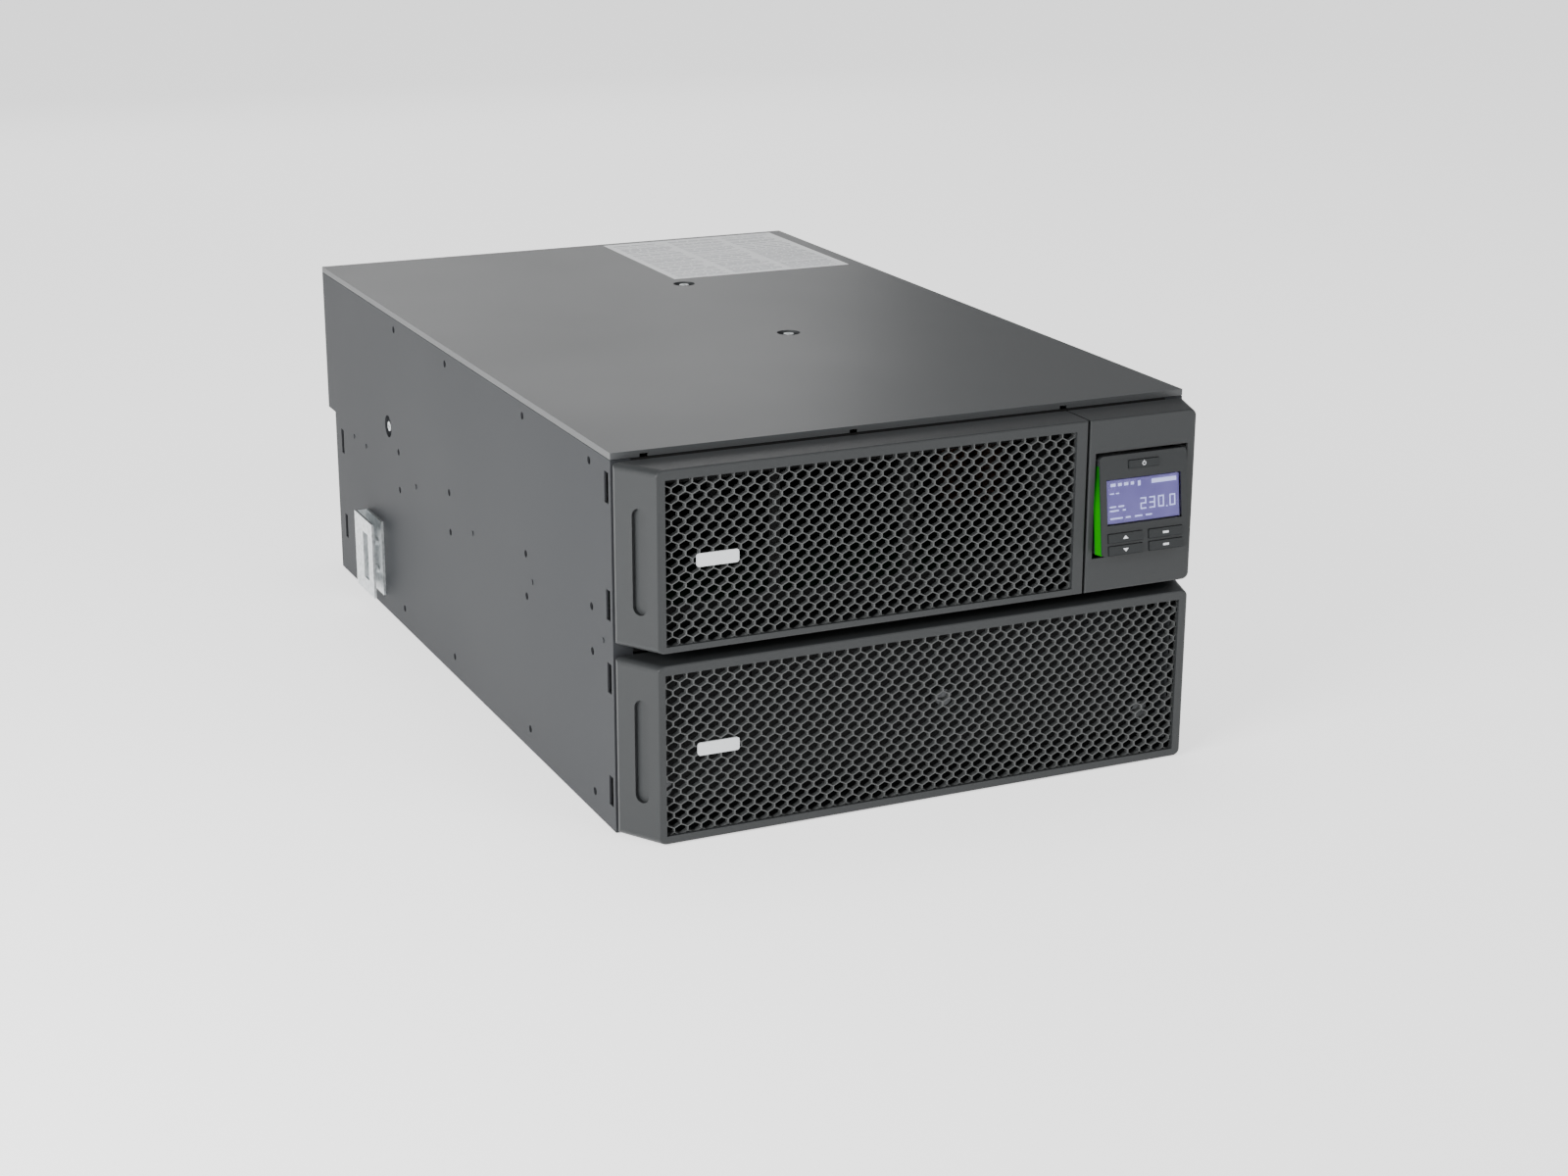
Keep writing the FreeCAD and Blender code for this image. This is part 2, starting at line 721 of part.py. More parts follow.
def front_panel():
    """Steel panel behind the upper bezels, with air windows, over the shelf's front edge."""
    bottom = s.lower_bezel_top + 0.5
    top = s.case_height - s.cover_lip - s.cover_seam
    across = s.chassis_width - s.front_flange * 2 - 0.6
    sheet_body = padded_body(
        "front_sheet",
        "XZ_Plane",
        rectangle(-across / 2, across / 2, bottom, top),
        s.sheet_steel,
        offset=-FRONT - s.sheet_steel,
    )
    windows = []
    for i, x in enumerate((-150, -50, 50)):
        size = s.window_width, s.sheet_steel * 3, s.window_height
        centre = x, FRONT - s.sheet_steel, s.fan_height - 2
        windows.append(middle_box(f"air_window_{i}", *size, *centre))
    subpart(cut("front_sheet_cut", sheet_body, windows), "front_panel")


def battery_door():
    """Steel door over the battery bay, with its captive thumbscrews."""
    across = s.chassis_width - s.front_flange * 2 - s.door_margin_side
    up = s.door_top - s.door_bottom
    y = FRONT - s.sheet_steel
    sheet_metal = box("door_sheet", across, s.sheet_steel, up, -across / 2, y, s.door_bottom)
    rib = middle_box("door_rib", across * 0.6, 3, 14, 0, y - 3, s.door_top - 22)
    plate = fuse("door_plate", [sheet_metal, rib])
    holes, screws = [], []
    middle = (s.door_top + s.door_bottom) / 2
    end = across / 2 - s.thumb_inset
    for i, (x, height) in enumerate(((-end, s.thumb_low), (s.thumb_middle, middle), (end, s.thumb_low))):
        holes.append(cylinder(f"door_hole_{i}", s.screw_shank_radius + 0.3, 6, x, y - 1, height, "y"))
        head_y = y - s.thumb_length
        head = cylinder(f"thumb_head_{i}", s.thumb_radius, s.thumb_length, x, head_y, height, "y")
        shank = cylinder(f"thumb_shank_{i}", s.screw_shank_radius, 9, x, y - 1, height, "y")
        slot_y = y - s.thumb_length - 1
        slot = middle_box(f"thumb_slot_{i}", s.thumb_radius * 3, 2.5, 1.4, x, slot_y, height)
        screws.append(cut(f"thumb_{i}", fuse(f"thumb_body_{i}", [head, shank]), [slot]))
    subpart(cut("door_cut", plate, holes), "battery_door")
    subpart(group("thumbs", screws), "battery_door_screws")


def shelf_rivets():
    heads = []
    length = s.sheet_steel + s.rivet_head
    for side, x in (("left", -HALF - s.rivet_head), ("right", HALF - s.sheet_steel)):
        for i, along in enumerate(RIVET_PLACES):
            y = FRONT + along
            height = s.shelf_height + RIVET_LIFT
            heads.append(cylinder(f"{side}_rivet_{i}", s.rivet_radius, length, x, y, height, "x"))
    return heads


# ---------------------------------------------------------------- screws


def pan_screw(name, x, y, z, along, outward):
    """An M4 pan-head screw: its head sits at the point and faces outward."""
    head_start = -s.screw_head_height if outward < 0 else Size(0, "0")
    shank_start = Size(0, "0") if outward < 0 else -s.screw_shank_length
    slot_start = -s.screw_head_height if outward < 0 else s.screw_head_height - s.screw_slot_depth
    spot = {"x": x, "y": y, "z": z}

    def shifted(offset):
        return [spot[a] + offset if a == along else spot[a] for a in "xyz"]

    head = cylinder(name + "_head", s.screw_head_radius, s.screw_head_height, *shifted(head_start), along)
    shank_size = s.screw_shank_radius, s.screw_shank_length
    shank = cylinder(name + "_shank", *shank_size, *shifted(shank_start), along)
    slots = []
    for turn in (0, 1):
        spans = [s.screw_slot_width, s.screw_slot_length]
        others = [a for a in "xyz" if a != along]
        size = {along: s.screw_slot_depth, others[turn]: spans[0], others[1 - turn]: spans[1]}
        low = {a: spot[a] - size[a] / 2 for a in others}
        low[along] = spot[along] + slot_start
        slots.append(box(f"{name}_slot_{turn}", *[size[a] for a in "xyz"], *[low[a] for a in "xyz"]))
    return cut(name, fuse(name + "_body", [head, shank]), slots, merge=True)


def case_screws():
    """All the identical pan-head screws of the case."""
    screws = []
    dish_z = s.case_height - s.sheet_steel / 2 - s.dimple_depth
    for i, along in enumerate((s.cover_dimple_front, s.cover_dimple_rear)):
        x = s.cover_dimple_across
        screws.append(pan_screw(f"cover_screw_{i}", x, FRONT + along, dish_z, "z", 1))
    y = FRONT + s.side_dimple_place
    dish_x = HALF - s.sheet_steel / 2 - s.dimple_depth
    screws.append(pan_screw("left_case_screw", -dish_x, y, s.side_dimple_height, "x", -1))
    screws.append(pan_screw("right_case_screw", dish_x, y, s.side_dimple_height, "x", 1))
    foot_x = HALF + s.bracket_steel
    slot_y = bracket_slot_centre()
    for i, height in enumerate(bracket_screw_heights()):
        screws.append(pan_screw(f"left_bracket_screw_{i}", -foot_x, slot_y, height, "x", -1))
        screws.append(pan_screw(f"right_bracket_screw_{i}", foot_x, slot_y, height, "x", 1))
    for i, x in enumerate((-205, 205)):
        for j, height in enumerate((150, 247)):
            name = f"rear_screw_{i}_{j}"
            screws.append(pan_screw(name, Size(x, f"{x}"), REAR, Size(height, f"{height}"), "y", 1))
    for i, x in enumerate((-100, 100)):
        for j, height in enumerate((12, 128)):
            name = f"low_rear_screw_{i}_{j}"
            place_x = Size(x, f"{x}")
            screws.append(pan_screw(name, place_x, LOWER_REAR, Size(height, f"{height}"), "y", 1))
    subpart(group("case_screw_set", screws), "case_screws")


# ---------------------------------------------------------------- rear brackets


def bracket_screw_heights():
    return [s.bracket_bottom + s.bracket_height / 2 + lift for lift in BRACKET_SCREW_LIFTS]


def bracket_slot_centre():
    return FRONT + s.bracket_front + s.bracket_foot_back + s.bracket_slot_across


def rear_bracket(side, label):
    """A zinc-plated channel, open to the front: foot on the wall, web behind, slotted plate."""
    steel, reach = s.bracket_steel, s.bracket_reach
    front, length = FRONT + s.bracket_front, s.bracket_length
    up, bottom = s.bracket_height, s.bracket_bottom
    foot_length = length - s.bracket_foot_back
    inner = HALF if side > 0 else -HALF - steel
    outer = HALF + reach - steel if side > 0 else -HALF - reach
    web_x = HALF if side > 0 else -HALF - reach
    foot_y = front + s.bracket_foot_back
    foot = box(label + "_foot", steel, foot_length, up, inner, foot_y, bottom)
    web = box(label + "_web", reach, steel, up, web_x, front + length - steel, bottom)
    plate = box(label + "_plate", steel, length, up, outer, front, bottom)
    channel = fuse(label + "_channel", [foot, web, plate])
    slot_y = bracket_slot_centre() - s.bracket_slot_across / 2
    slot_x = outer - steel
    low = bottom + up / 2 - s.bracket_slot_up / 2
    size = steel * 3, s.bracket_slot_across, s.bracket_slot_up
    slot = box(label + "_slot", *size, slot_x, slot_y, low)
    holes = []
    for i, height in enumerate(bracket_screw_heights()):
        name = f"{label}_screw_hole_{i}"
        hole_x = inner - steel / 2
        radius = s.screw_shank_radius + CLEAR
        holes.append(cylinder(name, radius, steel * 2, hole_x, bracket_slot_centre(), height, "x"))
    slotted = cut(label + "_slotted", channel, [slot], merge=True)
    subpart(cut(label + "_drilled", slotted, holes), label)


# ---------------------------------------------------------------- bezels


def bezel_plan(left, right, inset=0):
    """The outline of a bezel seen from above. left and right say whether that end slants."""
    end = HALF - s.bezel_side_gap - inset
    back = FRONT - s.bezel_gap
    face = FRONT - s.bezel_depth + inset
    land = back - s.end_land
    # Moving a slanted wall inwards shifts its front corner along the face.
    corner_shift = inset * 0.75 if inset else 0
    points = []
    if left is True:
        points += [(-end, back), (-end, land), (-s.left_corner + corner_shift, face)]
    else:
        points += [(left + inset, back), (left + inset, face)]
    if right is True:
        points += [(s.right_corner - corner_shift, face), (end, land), (end, back)]
    else:
        points += [(right - inset, face), (right - inset, back)]
    return points


def bezel_shell(name, left, right, bottom, top):
    """A moulded bezel: solid outline with rounded front edges, hollowed from behind."""
    outer = padded_body(name + "_outer", "XY_Plane", bezel_plan(left, right), top - bottom, offset=bottom)
    face = number(FRONT - s.bezel_depth)

    def on_face(edge):
        return all(abs(v.Point.y - face) < 0.01 for v in edge.Vertexes)

    def on_slant(edge):
        ends = [v.Point for v in edge.Vertexes]
        return abs(ends[0].x - ends[1].x) > 1 and abs(ends[0].y - ends[1].y) > 1

    dress(outer, "Fillet", s.end_round, on_slant)
    dress(outer, "Fillet", s.bezel_wall / 2, on_face)
    wall = s.bezel_wall
    inner_points = bezel_plan(left, right, wall)
    inner_points[0] = (inner_points[0][0], FRONT)
    inner_points[-1] = (inner_points[-1][0], FRONT)
    length = top - bottom - wall * 2
    hollow = padded_body(name + "_hollow", "XY_Plane", inner_points, length, offset=bottom + wall)
    return cut(name + "_shell", outer, [hollow])


def face_opening(name, left, right, bottom, top):
    """A cutter through a bezel's front wall."""
    depth = s.bezel_wall * 2
    y = FRONT - s.bezel_depth - s.bezel_wall / 2
    return box(name, right - left, depth, top - bottom, left, y, bottom)


def slant(side):
    """Unit vector along the slanted end, front end first, and its length, in the XY plane."""
    corner = s.right_corner if side > 0 else s.left_corner
    rise = number(HALF - s.bezel_side_gap - corner) * side
    run = number(s.bezel_depth - s.bezel_gap - s.end_land)
    length = math.hypot(rise, run)
    return Vector(-rise / length, -run / length, 0), length


def grip_pieces(name, side, height):
    """The finger grip of one slanted end: a round-ended pit and the cup that lines it."""
    direction, _ = slant(side)
    outward = Vector(side * abs(direction.y), -abs(direction.x), 0)
    rear = Vector(side * number(HALF - s.bezel_side_gap), number(FRONT - s.bezel_gap - s.end_land), 0)
    centre = rear + direction * number(s.grip_offset)
    centre.z = number(height)

    def stadium(label, radius, straight, deep, start):
        base = centre + outward * start
        solid = None
        for lift in (-straight / 2, straight / 2):
            at = base + Vector(0, 0, lift)
            end = Part.makeCylinder(radius, deep, at, outward * -1)
            solid = end if solid is None else solid.fuse(end)
        slab = Part.makeBox(radius * 2, deep, straight)
        slab.Placement = Placement(Vector(-radius, 0, -straight / 2), Rotation())
        spin = math.degrees(math.atan2(-outward.y, -outward.x)) - 90
        slab.Placement = Placement(base, Rotation(Vector(0, 0, 1), spin)).multiply(slab.Placement)
        obj = doc.addObject("Part::Feature", clean(label))
        obj.Shape = solid.fuse(slab).removeSplitter()
        return obj

    width, length = number(s.grip_width), number(s.grip_length)
    wall, deep = number(s.bezel_wall) / 1.5, number(s.grip_depth)
    straight = length - width
    pit = stadium(name + "_pit", width / 2, straight, deep + 1, 1)
    liner = stadium(name + "_liner", width / 2 + wall, straight, deep + wall - 0.5, -0.5)
    return pit, liner


def studs(name, places):
    """Snap studs that reach back from a bezel into the chassis."""
    pieces = []
    for i, (x, z) in enumerate(places):
        y = FRONT - s.bezel_gap - s.lug_depth
        side = 1 if number(x) > 0 else -1
        pieces.append(cylinder(f"{name}_stud_{i}", s.stud_radius, s.stud_length, x, y + 1, z, "y"))
        lug_x = x + s.lug_shift * side
        pieces.append(middle_box(f"{name}_lug_{i}", s.lug_across, s.lug_depth - 1, s.lug_up, lug_x, y, z))
    return pieces


def bezel(label, left, right, bottom, top, opening, grips, stud_places):
    shell = bezel_shell(label, left, right, bottom, top)
    pits, liners = [], []
    for i, (side, height) in enumerate(grips):
        pit, liner = grip_pieces(f"{label}_grip_{i}", side, height)
        pits.append(pit)
        liners.append(liner)
    parts = [shell] + liners + studs(label, stud_places)
    whole = fuse(label + "_whole", parts)
    subpart(cut(label + "_cut", whole, pits + [opening]), label)


def grille(label, left, right, bottom, top):
    border = number(s.grille_border)
    y = number(FRONT - s.bezel_depth + s.bezel_wall + s.grille_gap)
    spans = [number(left) - border, number(right) + border, number(bottom) - border, number(top) + border]
    fixed_shape(honeycomb_plate(*spans, y, number(s.grille_depth)), label)


def badge(label, x, z):
    """A plain plaque with rounded corners on the grille."""
    half_across, half_up = s.badge_width / 2, s.badge_height / 2
    offset = -(FRONT - s.bezel_depth + s.bezel_wall + s.grille_gap)
    outline = rectangle(x - half_across, x + half_across, z - half_up, z + half_up)
    body = padded_body(label, "XZ_Plane", outline, s.badge_depth, offset=offset)

    def is_corner(edge):
        ends = [v.Point for v in edge.Vertexes]
        return abs(ends[0].y - ends[1].y) > 1

    dress(body, "Fillet", s.badge_round, is_corner)
    subpart(body, label)


def bezels():
    heights = stud_heights()
    left_x, right_x = -HALF + s.stud_inset, HALF - s.stud_inset
    opening = face_opening(
        "upper_opening", -s.upper_mesh_left, s.upper_mesh_right, s.upper_mesh_bottom, s.upper_mesh_top
    )
    upper_studs = [(left_x, heights[2]), (left_x, heights[3])]
    bezel(
        "upper_bezel_frame",
        True,
        s.seam_place,
        s.upper_bezel_bottom,
        s.upper_bezel_top,
        opening,
        [(-1, s.upper_grip_height)],
        upper_studs,
    )
    opening = face_opening(
        "lower_opening", -s.lower_mesh_left, s.lower_mesh_right, s.lower_mesh_bottom, s.lower_mesh_top
    )
    lower_studs = [(x, z) for x in (left_x, right_x) for z in heights[:2]]
    bezel(
        "lower_bezel_frame",
        True,
        True,
        s.lower_bezel_bottom,
        s.lower_bezel_top,
        opening,
        [(-1, s.lower_grip_height), (1, s.lower_grip_height)],
        lower_studs,
    )
    half = s.module_size / 2
    top = s.hinge_height + s.module_above
    opening = face_opening(
        "display_opening",
        s.hinge_across - half - s.module_gap,
        s.hinge_across + half + s.module_gap,
        top - s.module_size - s.module_gap_bottom,
        top + s.module_gap_top,
    )
    bezel(
        "display_bezel",
        s.seam_place + s.seam_gap,
        True,
        s.upper_bezel_bottom,
        s.upper_bezel_top,
        opening,
        [(1, s.upper_grip_height)],
        [(right_x, heights[2]), (right_x, heights[3])],
    )
    grille("upper_grille", -s.upper_mesh_left, s.upper_mesh_right, s.upper_mesh_bottom, s.upper_mesh_top)
    grille("lower_grille", -s.lower_mesh_left, s.lower_mesh_right, s.lower_mesh_bottom, s.lower_mesh_top)
    badge("upper_badge", -s.badge_place, s.upper_badge_height)
    badge("lower_badge", -s.badge_place, s.lower_badge_height)


# ---------------------------------------------------------------- display module
# These parts are drawn with the hinge line at the origin, then tilted and put in place.


def on_module(obj, label):
    """Tilts a part drawn about the hinge line and carries it to its place."""
    if obj.TypeId == "Part::Box":
        obj = group(label + "_set", [obj])
    obj.Placement = Placement(Vector(), Rotation(Vector(-1, 0, 0), 1))
    obj.setExpression("Placement.Rotation.Angle", words(s.rest_tilt))
    place(obj, s.hinge_across, FRONT - s.hinge_depth, s.hinge_height)
    return subpart(obj, label)


KEYS = {
    "button_up": (-1, 0),
    "button_down": (-1, 1),
    "button_escape": (1, 0),
    "button_enter": (1, 1),
}


def key_centre(column, row):
    x = s.key_pitch_across / 2 * column
    z = s.module_above - s.key_drop - s.key_pitch_up * row
    return x, z


def display_module():
    size, top, face = s.module_size, s.module_above, -s.module_proud
    half = size / 2
    outline = rectangle(-half, half, top - size, top)
    offset = s.module_proud - s.module_depth
    block = padded_body("module_block", "XZ_Plane", outline, s.module_depth, offset=offset)

    def runs_deep(edge):
        ends = [v.Point for v in edge.Vertexes]
        return abs(ends[0].y - ends[1].y) > 1 and edge.Length > 10

    dress(block, "Fillet", s.module_round, runs_deep)
    window_top = top - s.window_drop
    gap = s.key_gap
    tools = []
    x = -s.window_across / 2
    z = window_top - s.window_up
    sink = s.window_sink + s.window_thick + s.lcd_thick
    tools.append(box("window_pit", s.window_across, sink + 1, s.window_up, x, face - 1, z))
    for name, (column, row) in KEYS.items():
        kx, kz = key_centre(column, row)
        across, up = s.key_across + gap * 2, s.key_up + gap * 2
        tools.append(middle_box(name + "_pit", across, s.key_thick + 2, up, kx, face - 1, kz))
    across, up = s.power_across + gap * 2, s.power_up + gap * 2
    tools.append(middle_box("power_pit", across, s.key_thick + 2, up, 0, face - 1, top - s.power_drop))
    back = face + s.key_thick + 2.4
    room = size - 14
    depth = s.module_depth - s.key_thick - 4
    tools.append(box("board_room", room, depth, room + 6, -room / 2, back, top - size + 4))
    for side in (-1, 1):
        bar_x = half - s.bar_thick if side > 0 else -half - 1
        z = top - size + s.bar_lift
        name = f"bar_pit_{side + 1}"
        tools.append(box(name, s.bar_thick + 1, s.bar_depth, s.bar_height, bar_x, face + s.bar_inset, z))
    for i, side in enumerate((-1, 1)):
        pin_x = half - s.pin_inside if side > 0 else -half - 1
        tools.append(cylinder(f"pin_bore_{i}", s.pin_radius, s.pin_inside + 1, pin_x, 0, 0, "x"))
    housing = cut("module_cut", block, tools, merge=True)
    on_module(housing, "display_housing")

    x, z = -s.window_across / 2 + 0.15, window_top - s.window_up + 0.15
    across, up = s.window_across - 0.3, s.window_up - 0.3
    lens = box("lens", across, s.window_thick, up, x, face + s.window_sink, z)
    on_module(lens, "display_window")
    y = face + s.window_sink + s.window_thick + 0.05
    z = window_top - (s.window_up + s.lcd_up) / 2
    screen = box("screen", s.lcd_across, s.lcd_thick - 0.1, s.lcd_up, -s.lcd_across / 2, y, z)
    on_module(screen, "lcd_screen")
    bars = []
    z = top - size + s.bar_lift + 0.1
    thick, tall = s.bar_thick - 0.05, s.bar_height - 0.2
    for i, side in enumerate((-1, 1)):
        bar_x = half - s.bar_thick + 0.05 if side > 0 else -half
        y = face + s.bar_inset + 0.1
        bars.append(box(f"light_bar_{i}", thick, s.bar_depth - 0.2, tall, bar_x, y, z))
    on_module(group("bars", bars), "light_bars")
    board_across = room - 4
    corner = -board_across / 2, back + 3, top - size + 8
    board = box("board", board_across, s.board_thick, board_across, *corner)
    on_module(board, "display_board")
    for name, (column, row) in KEYS.items():
        kx, kz = key_centre(column, row)
        y = face - s.key_proud
        on_module(middle_box(name + "_cap", s.key_across, s.key_thick, s.key_up, kx, y, kz), name)
    y = face - s.key_proud
    cap = middle_box("power", s.power_across, s.key_thick, s.power_up, 0, y, top - s.power_drop)
    on_module(cap, "power_button")
    pins = []
    for i, side in enumerate((-1, 1)):
        pin_x = half - s.pin_inside if side > 0 else -half + s.pin_inside - s.pin_length
        pins.append(cylinder(f"pin_{i}", s.pin_radius, s.pin_length, pin_x, 0, 0, "x"))
    on_module(group("pins", pins), "display_hinge_pins")


def display_cradle():
    """Fixed U bracket on the front panel whose ears hold the hinge pins."""
    half = s.module_size / 2 + s.cradle_gap
    wall = s.cradle_wall
    x = s.hinge_across
    y = FRONT - s.hinge_depth
    ear_along = s.hinge_depth
    low = s.hinge_height - 12
    parts = []
    for i, side in enumerate((-1, 1)):
        ear_x = x + half if side > 0 else x - half - wall
        nose = cylinder(f"ear_nose_{i}", s.pin_radius + 1.2, wall, ear_x, y, s.hinge_height, "x")
        arm_up = (s.pin_radius + 1.2) * 2
        arm_z = s.hinge_height - s.pin_radius - 1.2
        arm = box(f"ear_arm_{i}", wall, ear_along, arm_up, ear_x, y, arm_z)
        parts += [nose, arm]
    base_y = FRONT - wall
    across = half * 2 + wall * 2
    parts.append(box("cradle_base", across, wall, 24, x - half - wall, base_y, low))
    whole = fuse("cradle", parts)
    bores = []
    for i, side in enumerate((-1, 1)):
        ear_x = x + half - 1 if side > 0 else x - half - wall - 1
        radius = s.pin_radius + s.pin_clearance
        bores.append(cylinder(f"ear_bore_{i}", radius, wall + 2, ear_x, y, s.hinge_height, "x"))
    subpart(cut("cradle_cut", whole, bores), "display_cradle")


# ---------------------------------------------------------------- fans


def fan_places():
    return [-s.fan_first + s.fan_pitch * i for i in range(3)]


def fan_frame(index, x):
    size, depth = s.fan_size, s.fan_depth
    y = REAR - s.sheet_steel - s.fan_back_gap - depth
    z = s.fan_height
    block = middle_box(f"fan_block_{index}", size, depth, size, x, y, z)
    bore = cylinder(f"fan_bore_{index}", s.fan_bore, depth + 2, x, y - 1, z, "y")
    holes = [bore]
    inset = size / 2 - 4.2
    for i, (a, b) in enumerate(((-1, -1), (-1, 1), (1, -1), (1, 1))):
        name = f"fan_fixing_{index}_{i}"
        holes.append(cylinder(name, 2.2, depth + 2, x + inset * a, y - 1, z + inset * b, "y"))
    ring = cut(f"fan_ring_{index}", block, holes)
    motor_y = y + depth - s.fan_motor_depth
    parts = [ring]
    parts.append(cylinder(f"fan_motor_{index}", s.fan_motor_radius, s.fan_motor_depth, x, motor_y, z, "y"))
    reach = s.fan_bore * 2 + 2
    parts.append(middle_box(f"fan_strut_a_{index}", reach, 3, 5, x, y + depth - 3, z))
    parts.append(middle_box(f"fan_strut_b_{index}", 5, 3, reach, x, y + depth - 3, z))
    whole = fuse(f"fan_body_{index}", parts)
    radius = s.fan_shaft_radius + s.fan_shaft_clearance
    socket = cylinder(f"fan_socket_{index}", radius, s.fan_motor_depth + 2, x, motor_y - 1, z, "y")
    subpart(cut(f"fan_frame_cut_{index}", whole, [socket]), f"fan_frame_{index}")


def fan_rotor(index, x):
    """Hub, shaft and seven slanted blades."""
    y = REAR - s.sheet_steel - s.fan_back_gap - s.fan_depth + 2
    z = s.fan_height
    length = s.fan_depth - s.fan_motor_depth - 3.5
    parts = [cylinder(f"rotor_hub_{index}", s.fan_hub, length, x, y, z, "y")]
    shaft_length = s.fan_motor_depth + 2
    base = x, y + length - 1, z
    parts.append(cylinder(f"rotor_shaft_{index}", s.fan_shaft_radius, shaft_length, *base, "y"))
    centre = Vector(number(x), number(y + length / 2), number(z))
    inner = number(s.fan_hub) - 2
    chord = 20
    for i in range(7):
        blade = doc.addObject("Part::Box", clean(f"rotor_blade_{index}_{i}"))
        blade.setExpression("Length", words(s.fan_blade_tip - s.fan_hub + 1))
        blade.setExpression("Width", words(s.fan_blade_thick))
        blade.Height = chord
        pitch = Placement(Vector(inner, 0, 0), Rotation(Vector(1, 0, 0), 50))
        centred = Placement(Vector(0, -0.8, -chord / 2), Rotation())
        spin = Placement(centre, Rotation(Vector(0, 1, 0), i * 360 / 7))
        blade.Placement = spin.multiply(pitch).multiply(centred)
        parts.append(blade)
    subpart(fuse(f"rotor_{index}", parts), f"fan_rotor_{index}")


def fans():
    for index, x in enumerate(fan_places(), 1):
        fan_frame(index, x)
        fan_rotor(index, x)


# ---------------------------------------------------------------- rear panels and their equipment


def rear_panel_upper():
    """Upper rear sheet: three round vents, the card slot and the port window, and a ledge."""
    y = number(REAR - s.sheet_steel)
    half = number(HALF - s.sheet_steel) - 0.3
    bottom, top = number(s.step_height) + 0.2, number(s.case_height - s.cover_lip - s.cover_seam) - 0.4
    wires = [wire_of([(-half, bottom), (half, bottom), (half, top), (-half, top)], y)]
    for x in fan_places():
        wires += round_vent(number(x), number(s.fan_height), number(s.fan_bore), y)
    windows = (
        (s.card_height, s.card_across - 6, s.card_up - 6),
        (s.port_block_height, s.port_block_across, s.port_block_up),
    )
    for height, across, up in windows:
        wires.append(rectangle_wire(number(s.card_place), number(height), across, up, y))
    panel = Part.makeFace(wires, "Part::FaceMakerBullseye").extrude(Vector(0, number(s.sheet_steel), 0))
    ledge_depth = number(s.step_depth + s.sheet_steel)
    corner = Vector(-half, y - ledge_depth + 0.5, bottom)
    ledge = Part.makeBox(half * 2, ledge_depth, number(s.sheet_steel), corner)
    holes = []
    for x in (-205, 205):
        for z in (150, 247):
            centre = Vector(x, y - 1, z)
            holes.append(Part.makeCylinder(number(s.screw_shank_radius) + 0.1, 4, centre, Vector(0, 1, 0)))
    fixed_shape(panel.fuse(ledge).cut(Part.makeCompound(holes)).removeSplitter(), "rear_panel_upper")


def bank_size(across, up, pitch, count):
    return across + pitch * (count - 1) + s.outlet_rim * 2, up + s.outlet_rim * 2


LIGHT = SimpleNamespace(
    across=s.outlet_across,
    up=s.outlet_up,
    pitch=s.outlet_pitch,
    count=3,
    pin=(s.light_pin_across, s.light_pin_up),
)
HEAVY = SimpleNamespace(
    across=s.heavy_across,
    up=s.heavy_up,
    pitch=s.heavy_pitch,
    count=2,
    pin=(s.heavy_pin_across, s.heavy_pin_up),
)
BANKS = {
    "outlet_bank_1": (LIGHT, -s.light_bank_place, s.bank_upper_height),
    "outlet_bank_2": (LIGHT, -s.light_bank_place, s.bank_lower_height),
    "heavy_outlet_bank_1": (HEAVY, -s.heavy_bank_place, s.bank_upper_height),
    "heavy_outlet_bank_2": (HEAVY, -s.heavy_bank_place, s.bank_lower_height),
}


def outlet_bank(label, kind, x, z):
    """A block of outlets: each a recess round a core with three contact slots."""
    across, up = bank_size(kind.across, kind.up, kind.pitch, kind.count)
    face = LOWER_REAR + s.outlet_flange
    depth = s.outlet_block_depth
    body = middle_box(label + "_block", across - 3, depth, up - 3, x, face - depth, z)
    flange = middle_box(label + "_flange", across + 4, s.outlet_flange, up + 4, x, LOWER_REAR, z)
    whole = fuse(label + "_body", [body, flange])
    recesses, cores, slots = [], [], []
    for i in range(kind.count):
        cx = x + kind.pitch * (i - (kind.count - 1) / 2)
        start = face - s.outlet_depth
        name = f"{label}_{i}"
        recesses.append(middle_box(name + "_recess", kind.across, s.outlet_depth + 1, kind.up, cx, start, z))
        moat = s.outlet_moat * 2
        core_depth = s.outlet_depth - 0.5
        size = kind.across - moat, core_depth, kind.up - moat
        cores.append(middle_box(name + "_core", *size, cx, start, z))
        pin_across, pin_up = kind.pin
        for j, (a, b) in enumerate(((-1, -1), (1, -1), (0, 1))):
            spot = cx + kind.across * 0.24 * a, face - s.pin_depth, z + kind.up * 0.14 * b
            slots.append(middle_box(f"{name}_slot_{j}", pin_across, s.pin_depth + 2, pin_up, *spot))
    hollow = cut(label + "_hollow", whole, recesses)
    cored = fuse(label + "_cored", [hollow] + cores)
    subpart(cut(label + "_slotted", cored, slots), label)


